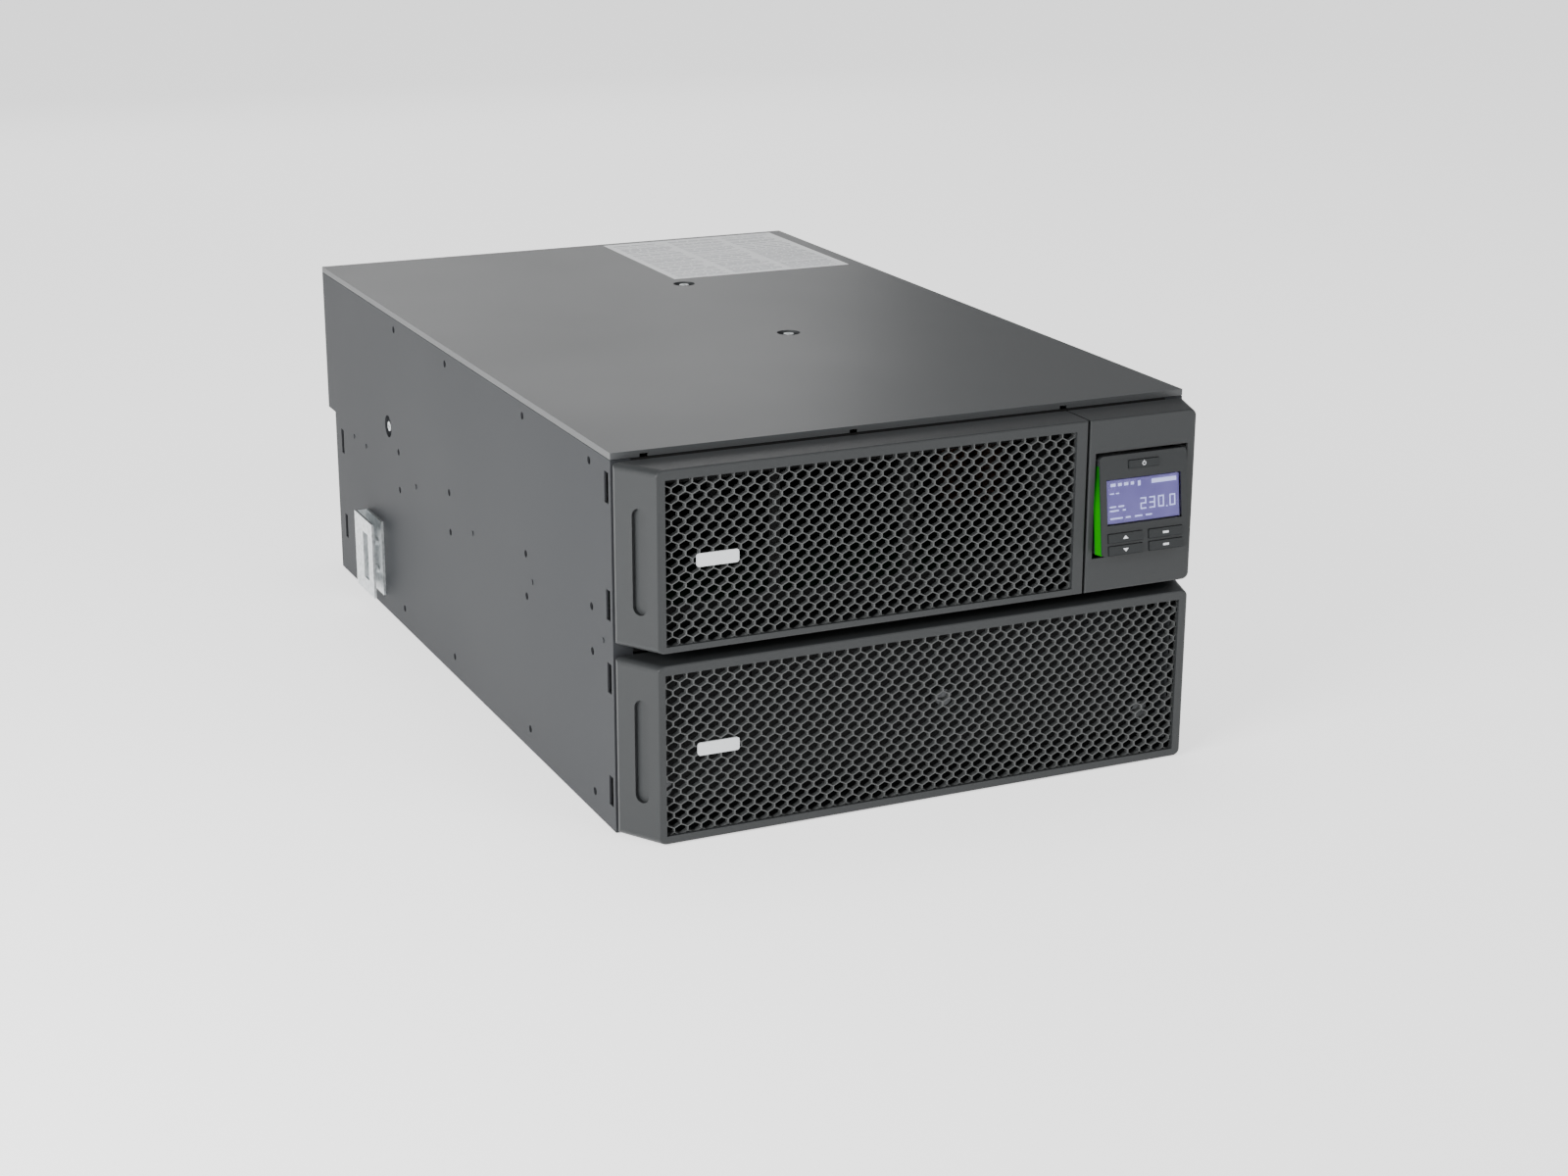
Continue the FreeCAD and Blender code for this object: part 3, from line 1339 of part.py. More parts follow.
def rear_panel_lower():
    """Lower rear sheet, cut for the outlet banks, breaker, buttons, terminals and socket."""
    bottom, top = s.sheet_steel + 0.2, s.step_height - 0.2
    half = HALF - s.sheet_steel - 0.3
    plate = padded_body(
        "low_rear_sheet", "XZ_Plane", rectangle(-half, half, bottom, top), s.sheet_steel, offset=-LOWER_REAR
    )
    y = LOWER_REAR - s.sheet_steel * 2
    deep = s.sheet_steel * 4
    tools = []
    for label, (kind, x, z) in BANKS.items():
        across, up = bank_size(kind.across, kind.up, kind.pitch, kind.count)
        tools.append(middle_box(label + "_window", across - 2.4, deep, up - 2.4, x, y, z))
    gap = 0.6
    across, up = s.breaker_across + gap, s.breaker_up + gap
    tools.append(middle_box("breaker_window", across, deep, up, s.breaker_place, y, s.breaker_height))
    for i, side in enumerate((-1, 1)):
        x = s.breaker_place + s.reset_spacing / 2 * side
        radius = s.reset_collar_radius - 1
        tools.append(cylinder(f"reset_window_{i}", radius, deep, x, y, s.reset_height, "y"))
    across, up = s.cover_box_across - 16, s.cover_box_up - 16
    tools.append(middle_box("terminal_window", across, deep, up, s.cover_box_place, y, s.cover_box_height))
    across, up = s.socket_across + gap, s.socket_up + gap
    tools.append(middle_box("socket_window", across, deep, up, s.socket_place, y, s.socket_height))
    for i, x in enumerate((-100, 100)):
        for j, height in enumerate((12, 128)):
            radius = s.screw_shank_radius + 0.1
            tools.append(cylinder(f"low_screw_hole_{i}_{j}", radius, deep, x, y, height, "y"))
    subpart(cut("low_rear_cut", plate, tools), "rear_panel_lower")


def breaker():
    """Input breaker with a rocking toggle, and two push-to-reset buttons in their collars."""
    x, z = s.breaker_place, s.breaker_height
    depth = 30
    face = LOWER_REAR + 2.5
    block = middle_box("breaker_block", s.breaker_across, depth, s.breaker_up, x, face - depth, z)
    rim = middle_box("breaker_rim", s.breaker_across + 4, 2.5, s.breaker_up + 4, x, LOWER_REAR, z)
    body = fuse("breaker_body", [block, rim])
    gap = 0.5
    room = s.toggle_across + gap * 2
    well_base = x - s.toggle_across / 2 - gap, toggle_y(), z
    well = cylinder("toggle_well", s.toggle_radius + gap, room, *well_base, "x")
    mouth = middle_box("toggle_mouth", room, 12, s.toggle_radius * 2 + 1, x, toggle_y(), z)
    subpart(cut("breaker_cut", body, [well, mouth], merge=True), "input_breaker")
    drum_base = x - s.toggle_across / 2, toggle_y(), z
    drum = cylinder("toggle_drum", s.toggle_radius, s.toggle_across, *drum_base, "x")
    lever = doc.addObject("Part::Box", "toggle_lever_bar")
    lever.setExpression("Length", words(s.toggle_across - 4))
    lever.setExpression("Width", words(s.toggle_lever))
    lever.Height = 5
    lever.Placement = Placement(Vector(), Rotation(Vector(1, 0, 0), 20))
    place(lever, x - s.toggle_across / 2 + 2, toggle_y() + 1, z - 2)
    subpart(fuse("toggle", [drum, lever]), "breaker_toggle")
    shells = []
    for i, side in enumerate((-1, 1), 1):
        bx = s.breaker_place + s.reset_spacing / 2 * side
        bz = s.reset_height
        collar = cylinder(f"reset_collar_{i}", s.reset_collar_radius, 4, bx, LOWER_REAR, bz, "y")
        barrel = cylinder(f"reset_barrel_{i}", s.reset_collar_radius - 1.3, 22, bx, LOWER_REAR - 20, bz, "y")
        bore = cylinder(f"reset_bore_{i}", s.reset_radius + 0.3, 22, bx, LOWER_REAR - 16, bz, "y")
        whole = fuse(f"reset_shell_{i}", [collar, barrel])
        shells.append(cut(f"reset_shell_cut_{i}", whole, [bore]))
        stem = cylinder(f"reset_stem_{i}", s.reset_radius, 18, bx, LOWER_REAR - 12.5, bz, "y")
        subpart(stem, f"reset_button_{i}")
    subpart(group("reset_shells", shells), "reset_breakers")


def toggle_y():
    return LOWER_REAR - 1


def terminal_cover():
    """Box-shaped steel cover over the hardwire terminals, with two knockouts underneath."""
    x, z = s.cover_box_place, s.cover_box_height
    across, up, depth = s.cover_box_across, s.cover_box_up, s.cover_box_depth
    steel = s.sheet_steel
    y = LOWER_REAR + 0.2
    outer = middle_box("terminal_outer", across, depth, up, x, y, z)
    inner = middle_box("terminal_inner", across - steel * 2, depth - steel, up - steel * 2, x, y - 0.01, z)
    tools = [inner]
    rings = []
    for i, side in enumerate((-1, 1)):
        kx = x + across / 4 * side
        outer_ring = cylinder(f"knock_outer_{i}", s.knockout_radius, 0.6, kx, y + depth - 0.6, z, "y")
        inner_ring = cylinder(f"knock_inner_{i}", s.knockout_radius - 1, 0.6, kx, y + depth - 0.6, z, "y")
        rings.append(cut(f"knock_{i}", outer_ring, [inner_ring]))
    box_cut = cut("terminal_shell", outer, tools)
    subpart(cut("terminal_shell_cut", box_cut, rings), "terminal_cover")


def battery_socket():
    """External battery socket: a block with two deep contact wells."""
    x, z = s.socket_place, s.socket_height
    face = LOWER_REAR + 2
    depth = s.socket_depth
    block = middle_box("socket_block", s.socket_across, depth, s.socket_up, x, face - depth, z)
    rim = middle_box("socket_rim", s.socket_across + 4, 2, s.socket_up + 4, x, LOWER_REAR, z)
    body = fuse("socket_body", [block, rim])
    wells = []
    for i, side in enumerate((-1, 1)):
        size = s.socket_across - 8, s.socket_well, s.socket_up / 2 - 8
        spot = x, face + 1 - s.socket_well, z + s.socket_up / 4 * side
        wells.append(middle_box(f"socket_well_{i}", *size, *spot))
    subpart(cut("socket_cut", body, wells), "battery_socket")


def network_card():
    """Plug-in card: face plate with a network port, and its board behind."""
    x, z = s.card_place, s.card_height
    plate = middle_box("card_plate", s.card_across, 1.8, s.card_up, x, REAR + 0.2, z)
    length = s.card_length
    spot = x, REAR + 0.3 - length, z - 12
    board = middle_box("card_board", s.card_across - 20, length, s.board_thick, *spot)
    port = middle_box("card_port", 18, 17, 15, x - 20, REAR - 15, z - 4)
    whole = fuse("card_body", [plate, board, port])
    well = middle_box("card_port_well", s.port_across, s.port_depth, s.port_up, x - 20, REAR - 8, z - 4)
    subpart(cut("card_cut", whole, [well]), "network_card")


def port_block():
    """Service ports over the card: three wells of different widths in one block."""
    x, z = s.card_place, s.port_block_height
    depth = 18
    face = REAR + 0.6
    across, up = s.port_block_across - 0.6, s.port_block_up - 0.6
    body = middle_box("port_body", across, depth, up, x, face - depth, z)
    wells = []
    places = ((-30, s.small_port), (-4, s.small_port + 1), (28, s.wide_port))
    for i, (shift, wide) in enumerate(places):
        spot = x + shift, face - s.port_depth, z
        wells.append(middle_box(f"port_well_{i}", wide, s.port_depth + 1, s.port_up, *spot))
    subpart(cut("port_cut", body, wells), "service_ports")


# ---------------------------------------------------------------- batteries and electronics


def battery_packs():
    handles = []
    for i in range(4):
        x = s.pack_pitch * (i - 1.5)
        z = s.pack_floor + s.pack_up / 2
        y = FRONT + s.pack_start
        name = f"battery_pack_{i + 1}"
        block = middle_box(name + "_block", s.pack_across, s.pack_length, s.pack_up, x, y, z)
        notch = middle_box(name + "_notch", 34, 10, 20, x, y - 1, z - 34)
        subpart(cut(name + "_cut", block, [notch]), name)
        bar = s.handle_bar
        rail = middle_box(f"handle_bar_{i}", s.handle_across, bar, 14, x, y - s.handle_reach, z + 20)
        legs = []
        for j, side in enumerate((-1, 1)):
            spot = x + (s.handle_across / 2 - bar / 2) * side, y - s.handle_reach, z + 20
            legs.append(middle_box(f"handle_leg_{i}_{j}", bar, s.handle_reach - 0.05, 14, *spot))
        handles.append(fuse(f"handle_{i}", [rail] + legs))
    subpart(group("handles", handles), "battery_handles")


def electronics():
    floor = s.shelf_height + s.sheet_steel
    y = FRONT + s.power_board_start
    z = floor + s.board_standoff
    board = middle_box("main_board", s.power_board_across, s.power_board_length, s.board_thick, 0, y, z)
    posts = [board]
    for i, side in enumerate((-1, 1)):
        for j, along in enumerate((20, 480)):
            px = s.power_board_across / 2 * side - 8 * side
            up = s.board_standoff + 1
            posts.append(cylinder(f"board_post_{i}_{j}", 3, up - 1.05, px, y + along, floor + 0.05))
    subpart(fuse("main_board_posts", posts), "power_board")
    deck = z + s.board_thick / 2 + 0.2
    sinks = []
    for i, side in enumerate((-1, 1)):
        x = (s.heatsink_across / 2 + 45) * side
        length = s.heatsink_length
        spot = x, y + 120, deck + s.heatsink_up / 2
        base = middle_box(f"sink_base_{i}", s.heatsink_base, length, s.heatsink_up, *spot)
        fins = [base]
        for j in range(8):
            fz = deck + s.heatsink_fin / 2 + (s.heatsink_up - s.heatsink_fin) / 7 * j
            size = s.heatsink_across, length, s.heatsink_fin
            fins.append(middle_box(f"sink_fin_{i}_{j}", *size, x, y + 120, fz))
        sinks.append(fuse(f"sink_{i}", fins))
    subpart(group("sinks", sinks), "heatsinks")
    parts = []
    for i in range(3):
        coil = doc.addObject("Part::Torus", f"coil_{i}")
        coil.setExpression("Radius1", words(s.coil_radius))
        coil.setExpression("Radius2", words(s.coil_section))
        place(coil, -s.power_board_across / 2 + 42, y + 150 + 80 * i, deck + s.coil_section + 0.3)
        parts.append(coil)
    for i in range(8):
        cx = s.power_board_across / 2 - 26 - 36 * (i % 2)
        cy = y + 150 + 40 * (i // 2)
        parts.append(cylinder(f"can_{i}", s.can_radius, s.can_height, cx, cy, deck + 0.3))
    subpart(group("magnetics", parts), "coils_and_capacitors")


def rating_label():
    y = FRONT + s.label_front
    plate = box("label_sheet", s.label_across, s.label_along, s.label_thick, s.label_left, y, s.case_height)
    subpart(plate, "rating_label")


# ---------------------------------------------------------------- build and write

chassis()
top_cover()
mid_shelf()
front_panel()
battery_door()
subpart(group("rivets", shelf_rivets()), "shelf_rivets")
case_screws()
rear_bracket(-1, "rear_bracket_left")
rear_bracket(1, "rear_bracket_right")
bezels()
display_module()
display_cradle()
fans()
rear_panel_upper()
for bank_label, (bank_kind, bank_x, bank_z) in BANKS.items():
    outlet_bank(bank_label, bank_kind, bank_x, bank_z)
rear_panel_lower()
breaker()
terminal_cover()
battery_socket()
network_card()
port_block()
battery_packs()
electronics()
rating_label()
doc.recompute()

for obj in doc.Objects:
    if "Invalid" in obj.State or "Error" in obj.State:
        raise RuntimeError(f"{obj.Name} did not compute: {obj.State}")
for obj in SUBPARTS:
    if obj.Shape.isNull() or not obj.Shape.isValid() or not obj.Shape.Solids:
        raise RuntimeError(f"{obj.Label} has no valid solid")

os.makedirs("parts", exist_ok=True)
for obj in SUBPARTS:
    obj.Shape.exportStep(os.path.join("parts", obj.Label + ".step"))
print(len(SUBPARTS), "sub-parts written")
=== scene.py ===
"""Looks for a six-unit rackmount UPS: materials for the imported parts, and small detail on their surfaces.

Lengths are in metres, unless a comment says millimetres. The floor, the lights and the camera are here too.
"""

import json
import math
import random

import bmesh
import bpy
from mathutils import Matrix, Vector


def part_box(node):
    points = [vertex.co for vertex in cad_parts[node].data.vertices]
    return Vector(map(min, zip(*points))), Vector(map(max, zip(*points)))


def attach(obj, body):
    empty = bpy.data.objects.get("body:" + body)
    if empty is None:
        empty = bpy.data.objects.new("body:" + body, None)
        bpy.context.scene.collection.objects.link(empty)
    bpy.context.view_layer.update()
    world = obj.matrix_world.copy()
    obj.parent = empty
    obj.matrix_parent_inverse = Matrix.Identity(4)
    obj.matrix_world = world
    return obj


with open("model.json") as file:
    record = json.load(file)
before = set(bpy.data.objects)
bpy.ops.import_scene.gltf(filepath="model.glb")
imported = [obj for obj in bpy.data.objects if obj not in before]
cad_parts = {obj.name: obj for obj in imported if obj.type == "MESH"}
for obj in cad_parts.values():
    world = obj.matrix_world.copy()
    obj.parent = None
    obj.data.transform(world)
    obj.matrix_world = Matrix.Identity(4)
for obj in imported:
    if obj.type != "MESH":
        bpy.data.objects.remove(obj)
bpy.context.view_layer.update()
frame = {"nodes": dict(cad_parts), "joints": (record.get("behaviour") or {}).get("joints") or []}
nodes = frame["nodes"]
MM = 0.001

# ---------------------------------------------------------------- camera, floor and light

# The camera was fitted to the photo. Angles are in degrees, and the lens and sensor in millimetres.
CAMERA_AZIMUTH = -24.847
CAMERA_ELEVATION = 17.799
CAMERA_ROLL = 0.205
CAMERA_DISTANCE = 1.8014
CAMERA_LENS = 61.67
SENSOR_WIDTH = 36
NEAREST_SEEN = 0.05
# It looks at a point in the plane of the chassis's front.
TARGET_ACROSS = -0.0928
TARGET_HEIGHT = 0.1563

WORLD_COLOR = (0.98, 0.99, 1, 1)
WORLD_STRENGTH = 0.3
FLOOR_SIZE = 20
FLOOR_DROP = 0.0005
# The floor is slightly self-lit, which brings it nearer to the photo's white ground.
FLOOR_GLOW = 1.3

# Each area light: its place, the point it faces, its width and height, and its power in watts.
LIGHTS = {
    "key": ((1.2, -2.4, 1.9), (0, -0.3, 0.1), (1.2, 1.0), 24),
    "left_low": ((-1.6, -1.0, 0.75), (-0.21, -0.2, 0.1), (1.0, 0.9), 46),
    "behind": ((0.2, 3.2, 1.15), (0, 0, 0.2), (3.0, 0.9), 12),
    "overhead": ((0.1, 0.4, 2.3), (0, 0.2, 0.2), (0.9, 0.9), 14),
}

face_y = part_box("chassis")[0].y


def look(position, target, roll=0.0):
    """The matrix of a camera or light at position that faces target."""
    forward = (target - position).normalized()
    turn = forward.to_track_quat("-Z", "Y").to_matrix().to_4x4()
    return Matrix.Translation(position) @ turn @ Matrix.Rotation(roll, 4, "Z")


def add_camera():
    azimuth, elevation = math.radians(CAMERA_AZIMUTH), math.radians(CAMERA_ELEVATION)
    target = Vector((TARGET_ACROSS, face_y, TARGET_HEIGHT))
    flat = math.cos(elevation)
    back = Vector((math.sin(azimuth) * flat, -math.cos(azimuth) * flat, math.sin(elevation)))
    data = bpy.data.cameras.new("camera")
    data.lens = CAMERA_LENS
    data.sensor_width = SENSOR_WIDTH
    data.clip_start = NEAREST_SEEN
    camera = bpy.data.objects.new("camera", data)
    camera.matrix_world = look(target + back * CAMERA_DISTANCE, target, math.radians(CAMERA_ROLL))
    bpy.context.collection.objects.link(camera)
    bpy.context.scene.camera = camera


def add_light(name, place, target, size, power):
    data = bpy.data.lights.new(name, "AREA")
    data.shape = "RECTANGLE"
    data.size, data.size_y = size
    data.energy = power
    light = bpy.data.objects.new(name, data)
    light.matrix_world = look(Vector(place), Vector(target))
    bpy.context.collection.objects.link(light)


def add_world():
    world = bpy.data.worlds.new("studio")
    world.use_nodes = True
    background = world.node_tree.nodes["Background"]
    background.inputs["Color"].default_value = WORLD_COLOR
    background.inputs["Strength"].default_value = WORLD_STRENGTH
    bpy.context.scene.world = world


def add_floor():
    mesh = bpy.data.meshes.new("floor")
    build = bmesh.new()
    bmesh.ops.create_grid(build, x_segments=2, y_segments=2, size=FLOOR_SIZE)
    build.to_mesh(mesh)
    build.free()
    floor = bpy.data.objects.new("floor", mesh)
    floor.location.z = -FLOOR_DROP
    bpy.context.collection.objects.link(floor)
    white, _, surface = shader("floor_white")
    surface.inputs["Base Color"].default_value = (0.92, 0.92, 0.92, 1)
    surface.inputs["Roughness"].default_value = 0.85
    surface.inputs["Emission Color"].default_value = (1, 1, 1, 1)
    surface.inputs["Emission Strength"].default_value = FLOOR_GLOW
    mesh.materials.append(white)


# ---------------------------------------------------------------- materials

# How far gloss wanders either side of a finish's roughness, and how deep its grain is.
GLOSS_SPREAD = 0.07
GRAIN_DEPTH = 0.0002

# The light bars: their green, how far up they shine fully, and the height over which the light then fades.
# The fade is painted shade on the bars' top, where the tilted module sits nearly flush in its recess.
BAR_GREEN = (0.0, 0.2, 0.002)
BAR_LIT_BELOW_SHADE = 0.028
BAR_SHADE_FADE = 0.03


def shader(name):
    """A new material, its node tree and its surface node."""
    material = bpy.data.materials.new(name)
    material.use_nodes = True
    tree = material.node_tree
    return material, tree, tree.nodes["Principled BSDF"]


def noise(tree, scale, detail=2.0, stretch=(1, 1, 1)):
    """Noise in the object's own coordinates; scale is in features per metre."""
    place = tree.nodes.new("ShaderNodeTexCoord")
    mapping = tree.nodes.new("ShaderNodeMapping")
    mapping.inputs["Scale"].default_value = stretch
    texture = tree.nodes.new("ShaderNodeTexNoise")
    texture.inputs["Scale"].default_value = scale
    texture.inputs["Detail"].default_value = detail
    tree.links.new(place.outputs["Object"], mapping.inputs["Vector"])
    tree.links.new(mapping.outputs["Vector"], texture.inputs["Vector"])
    return texture.outputs["Fac"]


def ramp(tree, source, low, high, start=0.3, end=0.7):
    """The colour low where source is under start, high where it is over end, and a blend between."""
    node = tree.nodes.new("ShaderNodeValToRGB")
    node.color_ramp.elements[0].position = start
    node.color_ramp.elements[0].color = (*low, 1)
    node.color_ramp.elements[1].position = end
    node.color_ramp.elements[1].color = (*high, 1)
    tree.links.new(source, node.inputs["Fac"])
    return node.outputs["Color"]


def spread(tree, source, low, high):
    """Source, from 0 to 1, mapped to low to high."""
    node = tree.nodes.new("ShaderNodeMapRange")
    node.inputs["To Min"].default_value = low
    node.inputs["To Max"].default_value = high
    tree.links.new(source, node.inputs["Value"])
    return node.outputs["Result"]


def scaled(color, factor):
    return tuple(min(channel * factor, 1) for channel in color)


def finish_of(
    name,
    color,
    roughness,
    grain,
    bump,
    metallic=0.0,
    variation=0.12,
    patch=7.0,
    stretch=(1, 1, 1),
    shine=0.5,
):
    """A surface with fine grain, slow patches of tone and gloss, and a bump from the grain.

    Grain and patch are in features per metre, and variation is the share by which the tone wanders.
    """
    material, tree, surface = shader(name)
    slow = noise(tree, patch, 3)
    fine = noise(tree, grain, 2, stretch)
    mixed = tree.nodes.new("ShaderNodeMix")
    mixed.data_type = "RGBA"
    mixed.inputs["Factor"].default_value = 0.5
    dark, light = scaled(color, 1 - variation), scaled(color, 1 + variation)
    tree.links.new(ramp(tree, slow, dark, light), mixed.inputs["A"])
    tree.links.new(ramp(tree, fine, dark, light, 0.25, 0.75), mixed.inputs["B"])
    tree.links.new(mixed.outputs["Result"], surface.inputs["Base Color"])
    gloss = spread(tree, slow, roughness - GLOSS_SPREAD, roughness + GLOSS_SPREAD)
    tree.links.new(gloss, surface.inputs["Roughness"])
    surface.inputs["Metallic"].default_value = metallic
    surface.inputs["Specular IOR Level"].default_value = shine
    relief = tree.nodes.new("ShaderNodeBump")
    relief.inputs["Strength"].default_value = bump
    relief.inputs["Distance"].default_value = GRAIN_DEPTH
    tree.links.new(fine, relief.inputs["Height"])
    tree.links.new(relief.outputs["Normal"], surface.inputs["Normal"])
    return material


def zinc_finish():
    """Bright zinc plate: spangled in tone, and uneven in gloss."""
    material, tree, surface = shader("zinc_plate")
    place = tree.nodes.new("ShaderNodeTexCoord")
    cells = tree.nodes.new("ShaderNodeTexVoronoi")
    cells.inputs["Scale"].default_value = 260
    tree.links.new(place.outputs["Object"], cells.inputs["Vector"])
    tone = ramp(tree, cells.outputs["Distance"], (0.5, 0.53, 0.54), (0.78, 0.81, 0.82), 0.1, 0.9)
    tree.links.new(tone, surface.inputs["Base Color"])
    tree.links.new(spread(tree, noise(tree, 90, 4), 0.24, 0.46), surface.inputs["Roughness"])
    surface.inputs["Metallic"].default_value = 0.9
    return material


def glowing(name, color, strength, low=None, span=None):
    """A lit surface. With low and span it glows fully up to height low, and fades out over span above, which
    paints shade into the glow.
    """
    material, tree, surface = shader(name)
    surface.inputs["Base Color"].default_value = (*scaled(color, 0.5), 1)
    surface.inputs["Roughness"].default_value = 0.4
    surface.inputs["Specular IOR Level"].default_value = 0.15
    surface.inputs["Emission Color"].default_value = (*color, 1)
    surface.inputs["Emission Strength"].default_value = strength
    if span:
        # The glow cut back above low is painted shade.
        place = tree.nodes.new("ShaderNodeTexCoord")
        split = tree.nodes.new("ShaderNodeSeparateXYZ")
        painted_shade_fade = tree.nodes.new("ShaderNodeMapRange")
        painted_shade_fade.interpolation_type = "SMOOTHSTEP"
        painted_shade_fade.inputs["From Min"].default_value = low + span
        painted_shade_fade.inputs["From Max"].default_value = low
        painted_shade_fade.inputs["To Max"].default_value = strength
        tree.links.new(place.outputs["Object"], split.inputs["Vector"])
        tree.links.new(split.outputs["Z"], painted_shade_fade.inputs["Value"])
        tree.links.new(painted_shade_fade.outputs["Result"], surface.inputs["Emission Strength"])
    return material


def screen_finish():
    """The display's backlit ground, in slow patches of two close violets."""
    material, tree, surface = shader("screen_backlight")
    tone = ramp(tree, noise(tree, 60, 3), (0.075, 0.065, 0.2), (0.12, 0.105, 0.28), 0.25, 0.75)
    tree.links.new(tone, surface.inputs["Base Color"])
    tree.links.new(tone, surface.inputs["Emission Color"])
    surface.inputs["Emission Strength"].default_value = 0.55
    surface.inputs["Roughness"].default_value = 0.3
    return material


def window_finish():
    """Clear, faintly violet plastic. Its low index of refraction keeps the screen sharp behind it."""
    material, tree, surface = shader("display_window_clear")
    surface.inputs["Base Color"].default_value = (0.93, 0.92, 1, 1)
    surface.inputs["Transmission Weight"].default_value = 1
    surface.inputs["IOR"].default_value = 1.12
    tree.links.new(spread(tree, noise(tree, 40, 2), 0.02, 0.07), surface.inputs["Roughness"])
    return material


def dress(material, *names):
    """Gives the CAD nodes their one material."""
    for name in names:
        data = nodes[name].data
        data.materials.clear()
        data.materials.append(material)


light_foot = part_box("light_bars")[0].z
paint = finish_of("case_paint", (0.05, 0.053, 0.055), 0.36, 1500, 0.2, variation=0.07, patch=3)
# A darker copy of the top's black paint, for the sides and rear: painted shade on the faces turned from the
# light.
shaded_side_paint = finish_of(
    "shell_paint_shaded", (0.034, 0.036, 0.039), 0.45, 1500, 0.2, variation=0.07, patch=3, shine=0.06
)
inner_paint = finish_of("inner_paint", (0.03, 0.031, 0.031), 0.6, 900, 0.2)
bezel_plastic = finish_of("bezel_plastic", (0.027, 0.029, 0.03), 0.4, 2200, 0.3, variation=0.08, shine=0.28)
grille_plastic = finish_of(
    "grille_plastic", (0.07, 0.073, 0.073), 0.42, 2200, 0.2, variation=0.1, shine=0.35
)
module_plastic = finish_of(
    "module_plastic", (0.022, 0.024, 0.025), 0.4, 2400, 0.25, variation=0.08, shine=0.3
)
key_plastic = finish_of("key_plastic", (0.016, 0.018, 0.019), 0.5, 2600, 0.3, variation=0.08, shine=0.3)
black_plastic = finish_of("black_plastic", (0.007, 0.007, 0.007), 0.6, 1800, 0.25, variation=0.15, shine=0.2)
badge_paint = finish_of("badge_paint", (0.62, 0.64, 0.65), 0.35, 1600, 0.1, variation=0.04)
white_plastic = finish_of("white_plastic", (0.66, 0.66, 0.63), 0.35, 1500, 0.1, variation=0.05)
red_plastic = finish_of("red_plastic", (0.5, 0.03, 0.02), 0.35, 1500, 0.1, variation=0.08)
board_green = finish_of("board_green", (0.007, 0.035, 0.015), 0.5, 500, 0.2, variation=0.2)
bare_aluminium = finish_of(
    "bare_aluminium", (0.62, 0.63, 0.64), 0.34, 700, 0.15, metallic=1, stretch=(1, 0.05, 1)
)
winding = finish_of("winding", (0.09, 0.035, 0.015), 0.35, 900, 0.6, variation=0.25, stretch=(1, 1, 4))
paper = finish_of("label_paper", (0.88, 0.89, 0.9), 0.6, 1200, 0.1, variation=0.03)
zinc = zinc_finish()
dull_zinc = finish_of("dull_zinc", (0.16, 0.165, 0.17), 0.5, 1200, 0.15, metallic=0.8)

dress(paint, "top_cover")
# The chassis, rear panels and their small parts take the darker, shaded copy of the paint.
dress(shaded_side_paint, "chassis", "rear_panel_upper", "rear_panel_lower", "terminal_cover", "shelf_rivets")
# The panel behind the grilles and the battery door are the darkest black, partly their own paint and partly
# painted shade, so the grille holes read black.
dress(black_plastic, "front_panel", "battery_door")
dress(inner_paint, "mid_shelf")
dress(zinc, "rear_bracket_left", "rear_bracket_right", "case_screws")
dress(dull_zinc, "battery_door_screws")
dress(zinc, "display_cradle", "display_hinge_pins")
dress(bezel_plastic, "upper_bezel_frame", "lower_bezel_frame", "display_bezel")
dress(grille_plastic, "upper_grille", "lower_grille")
dress(badge_paint, "upper_badge", "lower_badge")
dress(module_plastic, "display_housing")
dress(key_plastic, "button_up", "button_down", "button_escape", "button_enter", "power_button")
dress(window_finish(), "display_window")
dress(screen_finish(), "lcd_screen")
# The light bars' glow fades towards their top: painted shade, where the module sits nearly flush.
dress(glowing("light_bar_green_shaded_top", BAR_GREEN, 1.0, light_foot + BAR_LIT_BELOW_SHADE, BAR_SHADE_FADE), "light_bars")
dress(board_green, "display_board", "power_board")
dress(black_plastic, "fan_frame_1", "fan_frame_2", "fan_frame_3")
dress(black_plastic, "fan_rotor_1", "fan_rotor_2", "fan_rotor_3")
dress(black_plastic, "outlet_bank_1", "outlet_bank_2", "heavy_outlet_bank_1", "heavy_outlet_bank_2")
dress(black_plastic, "battery_socket", "input_breaker", "reset_breakers", "battery_handles")
dress(black_plastic, "battery_pack_1", "battery_pack_2", "battery_pack_3", "battery_pack_4")
dress(white_plastic, "breaker_toggle")
dress(red_plastic, "reset_button_1", "reset_button_2")
dress(bare_aluminium, "network_card", "service_ports")
dress(inner_paint, "heatsinks")
dress(winding, "coils_and_capacitors")
dress(paper, "rating_label")

# ---------------------------------------------------------------- soft edges on the hard parts

# The width of each node's bevel, in millimetres. Only edges sharper than the angle get one.
EDGE_ANGLE = math.radians(40)
EDGES = {
    "top_cover": 0.5,
    "chassis": 0.3,
    "upper_bezel_frame": 0.7,
    "lower_bezel_frame": 0.7,
    "display_bezel": 0.7,
    "display_housing": 0.45,
    "button_up": 0.5,
    "button_down": 0.5,
    "button_escape": 0.5,
    "button_enter": 0.5,
    "power_button": 0.5,
    "rear_bracket_left": 0.4,
    "rear_bracket_right": 0.4,
    "terminal_cover": 0.5,
    "breaker_toggle": 0.8,
    "network_card": 0.3,
    "light_bars": 0.5,
}


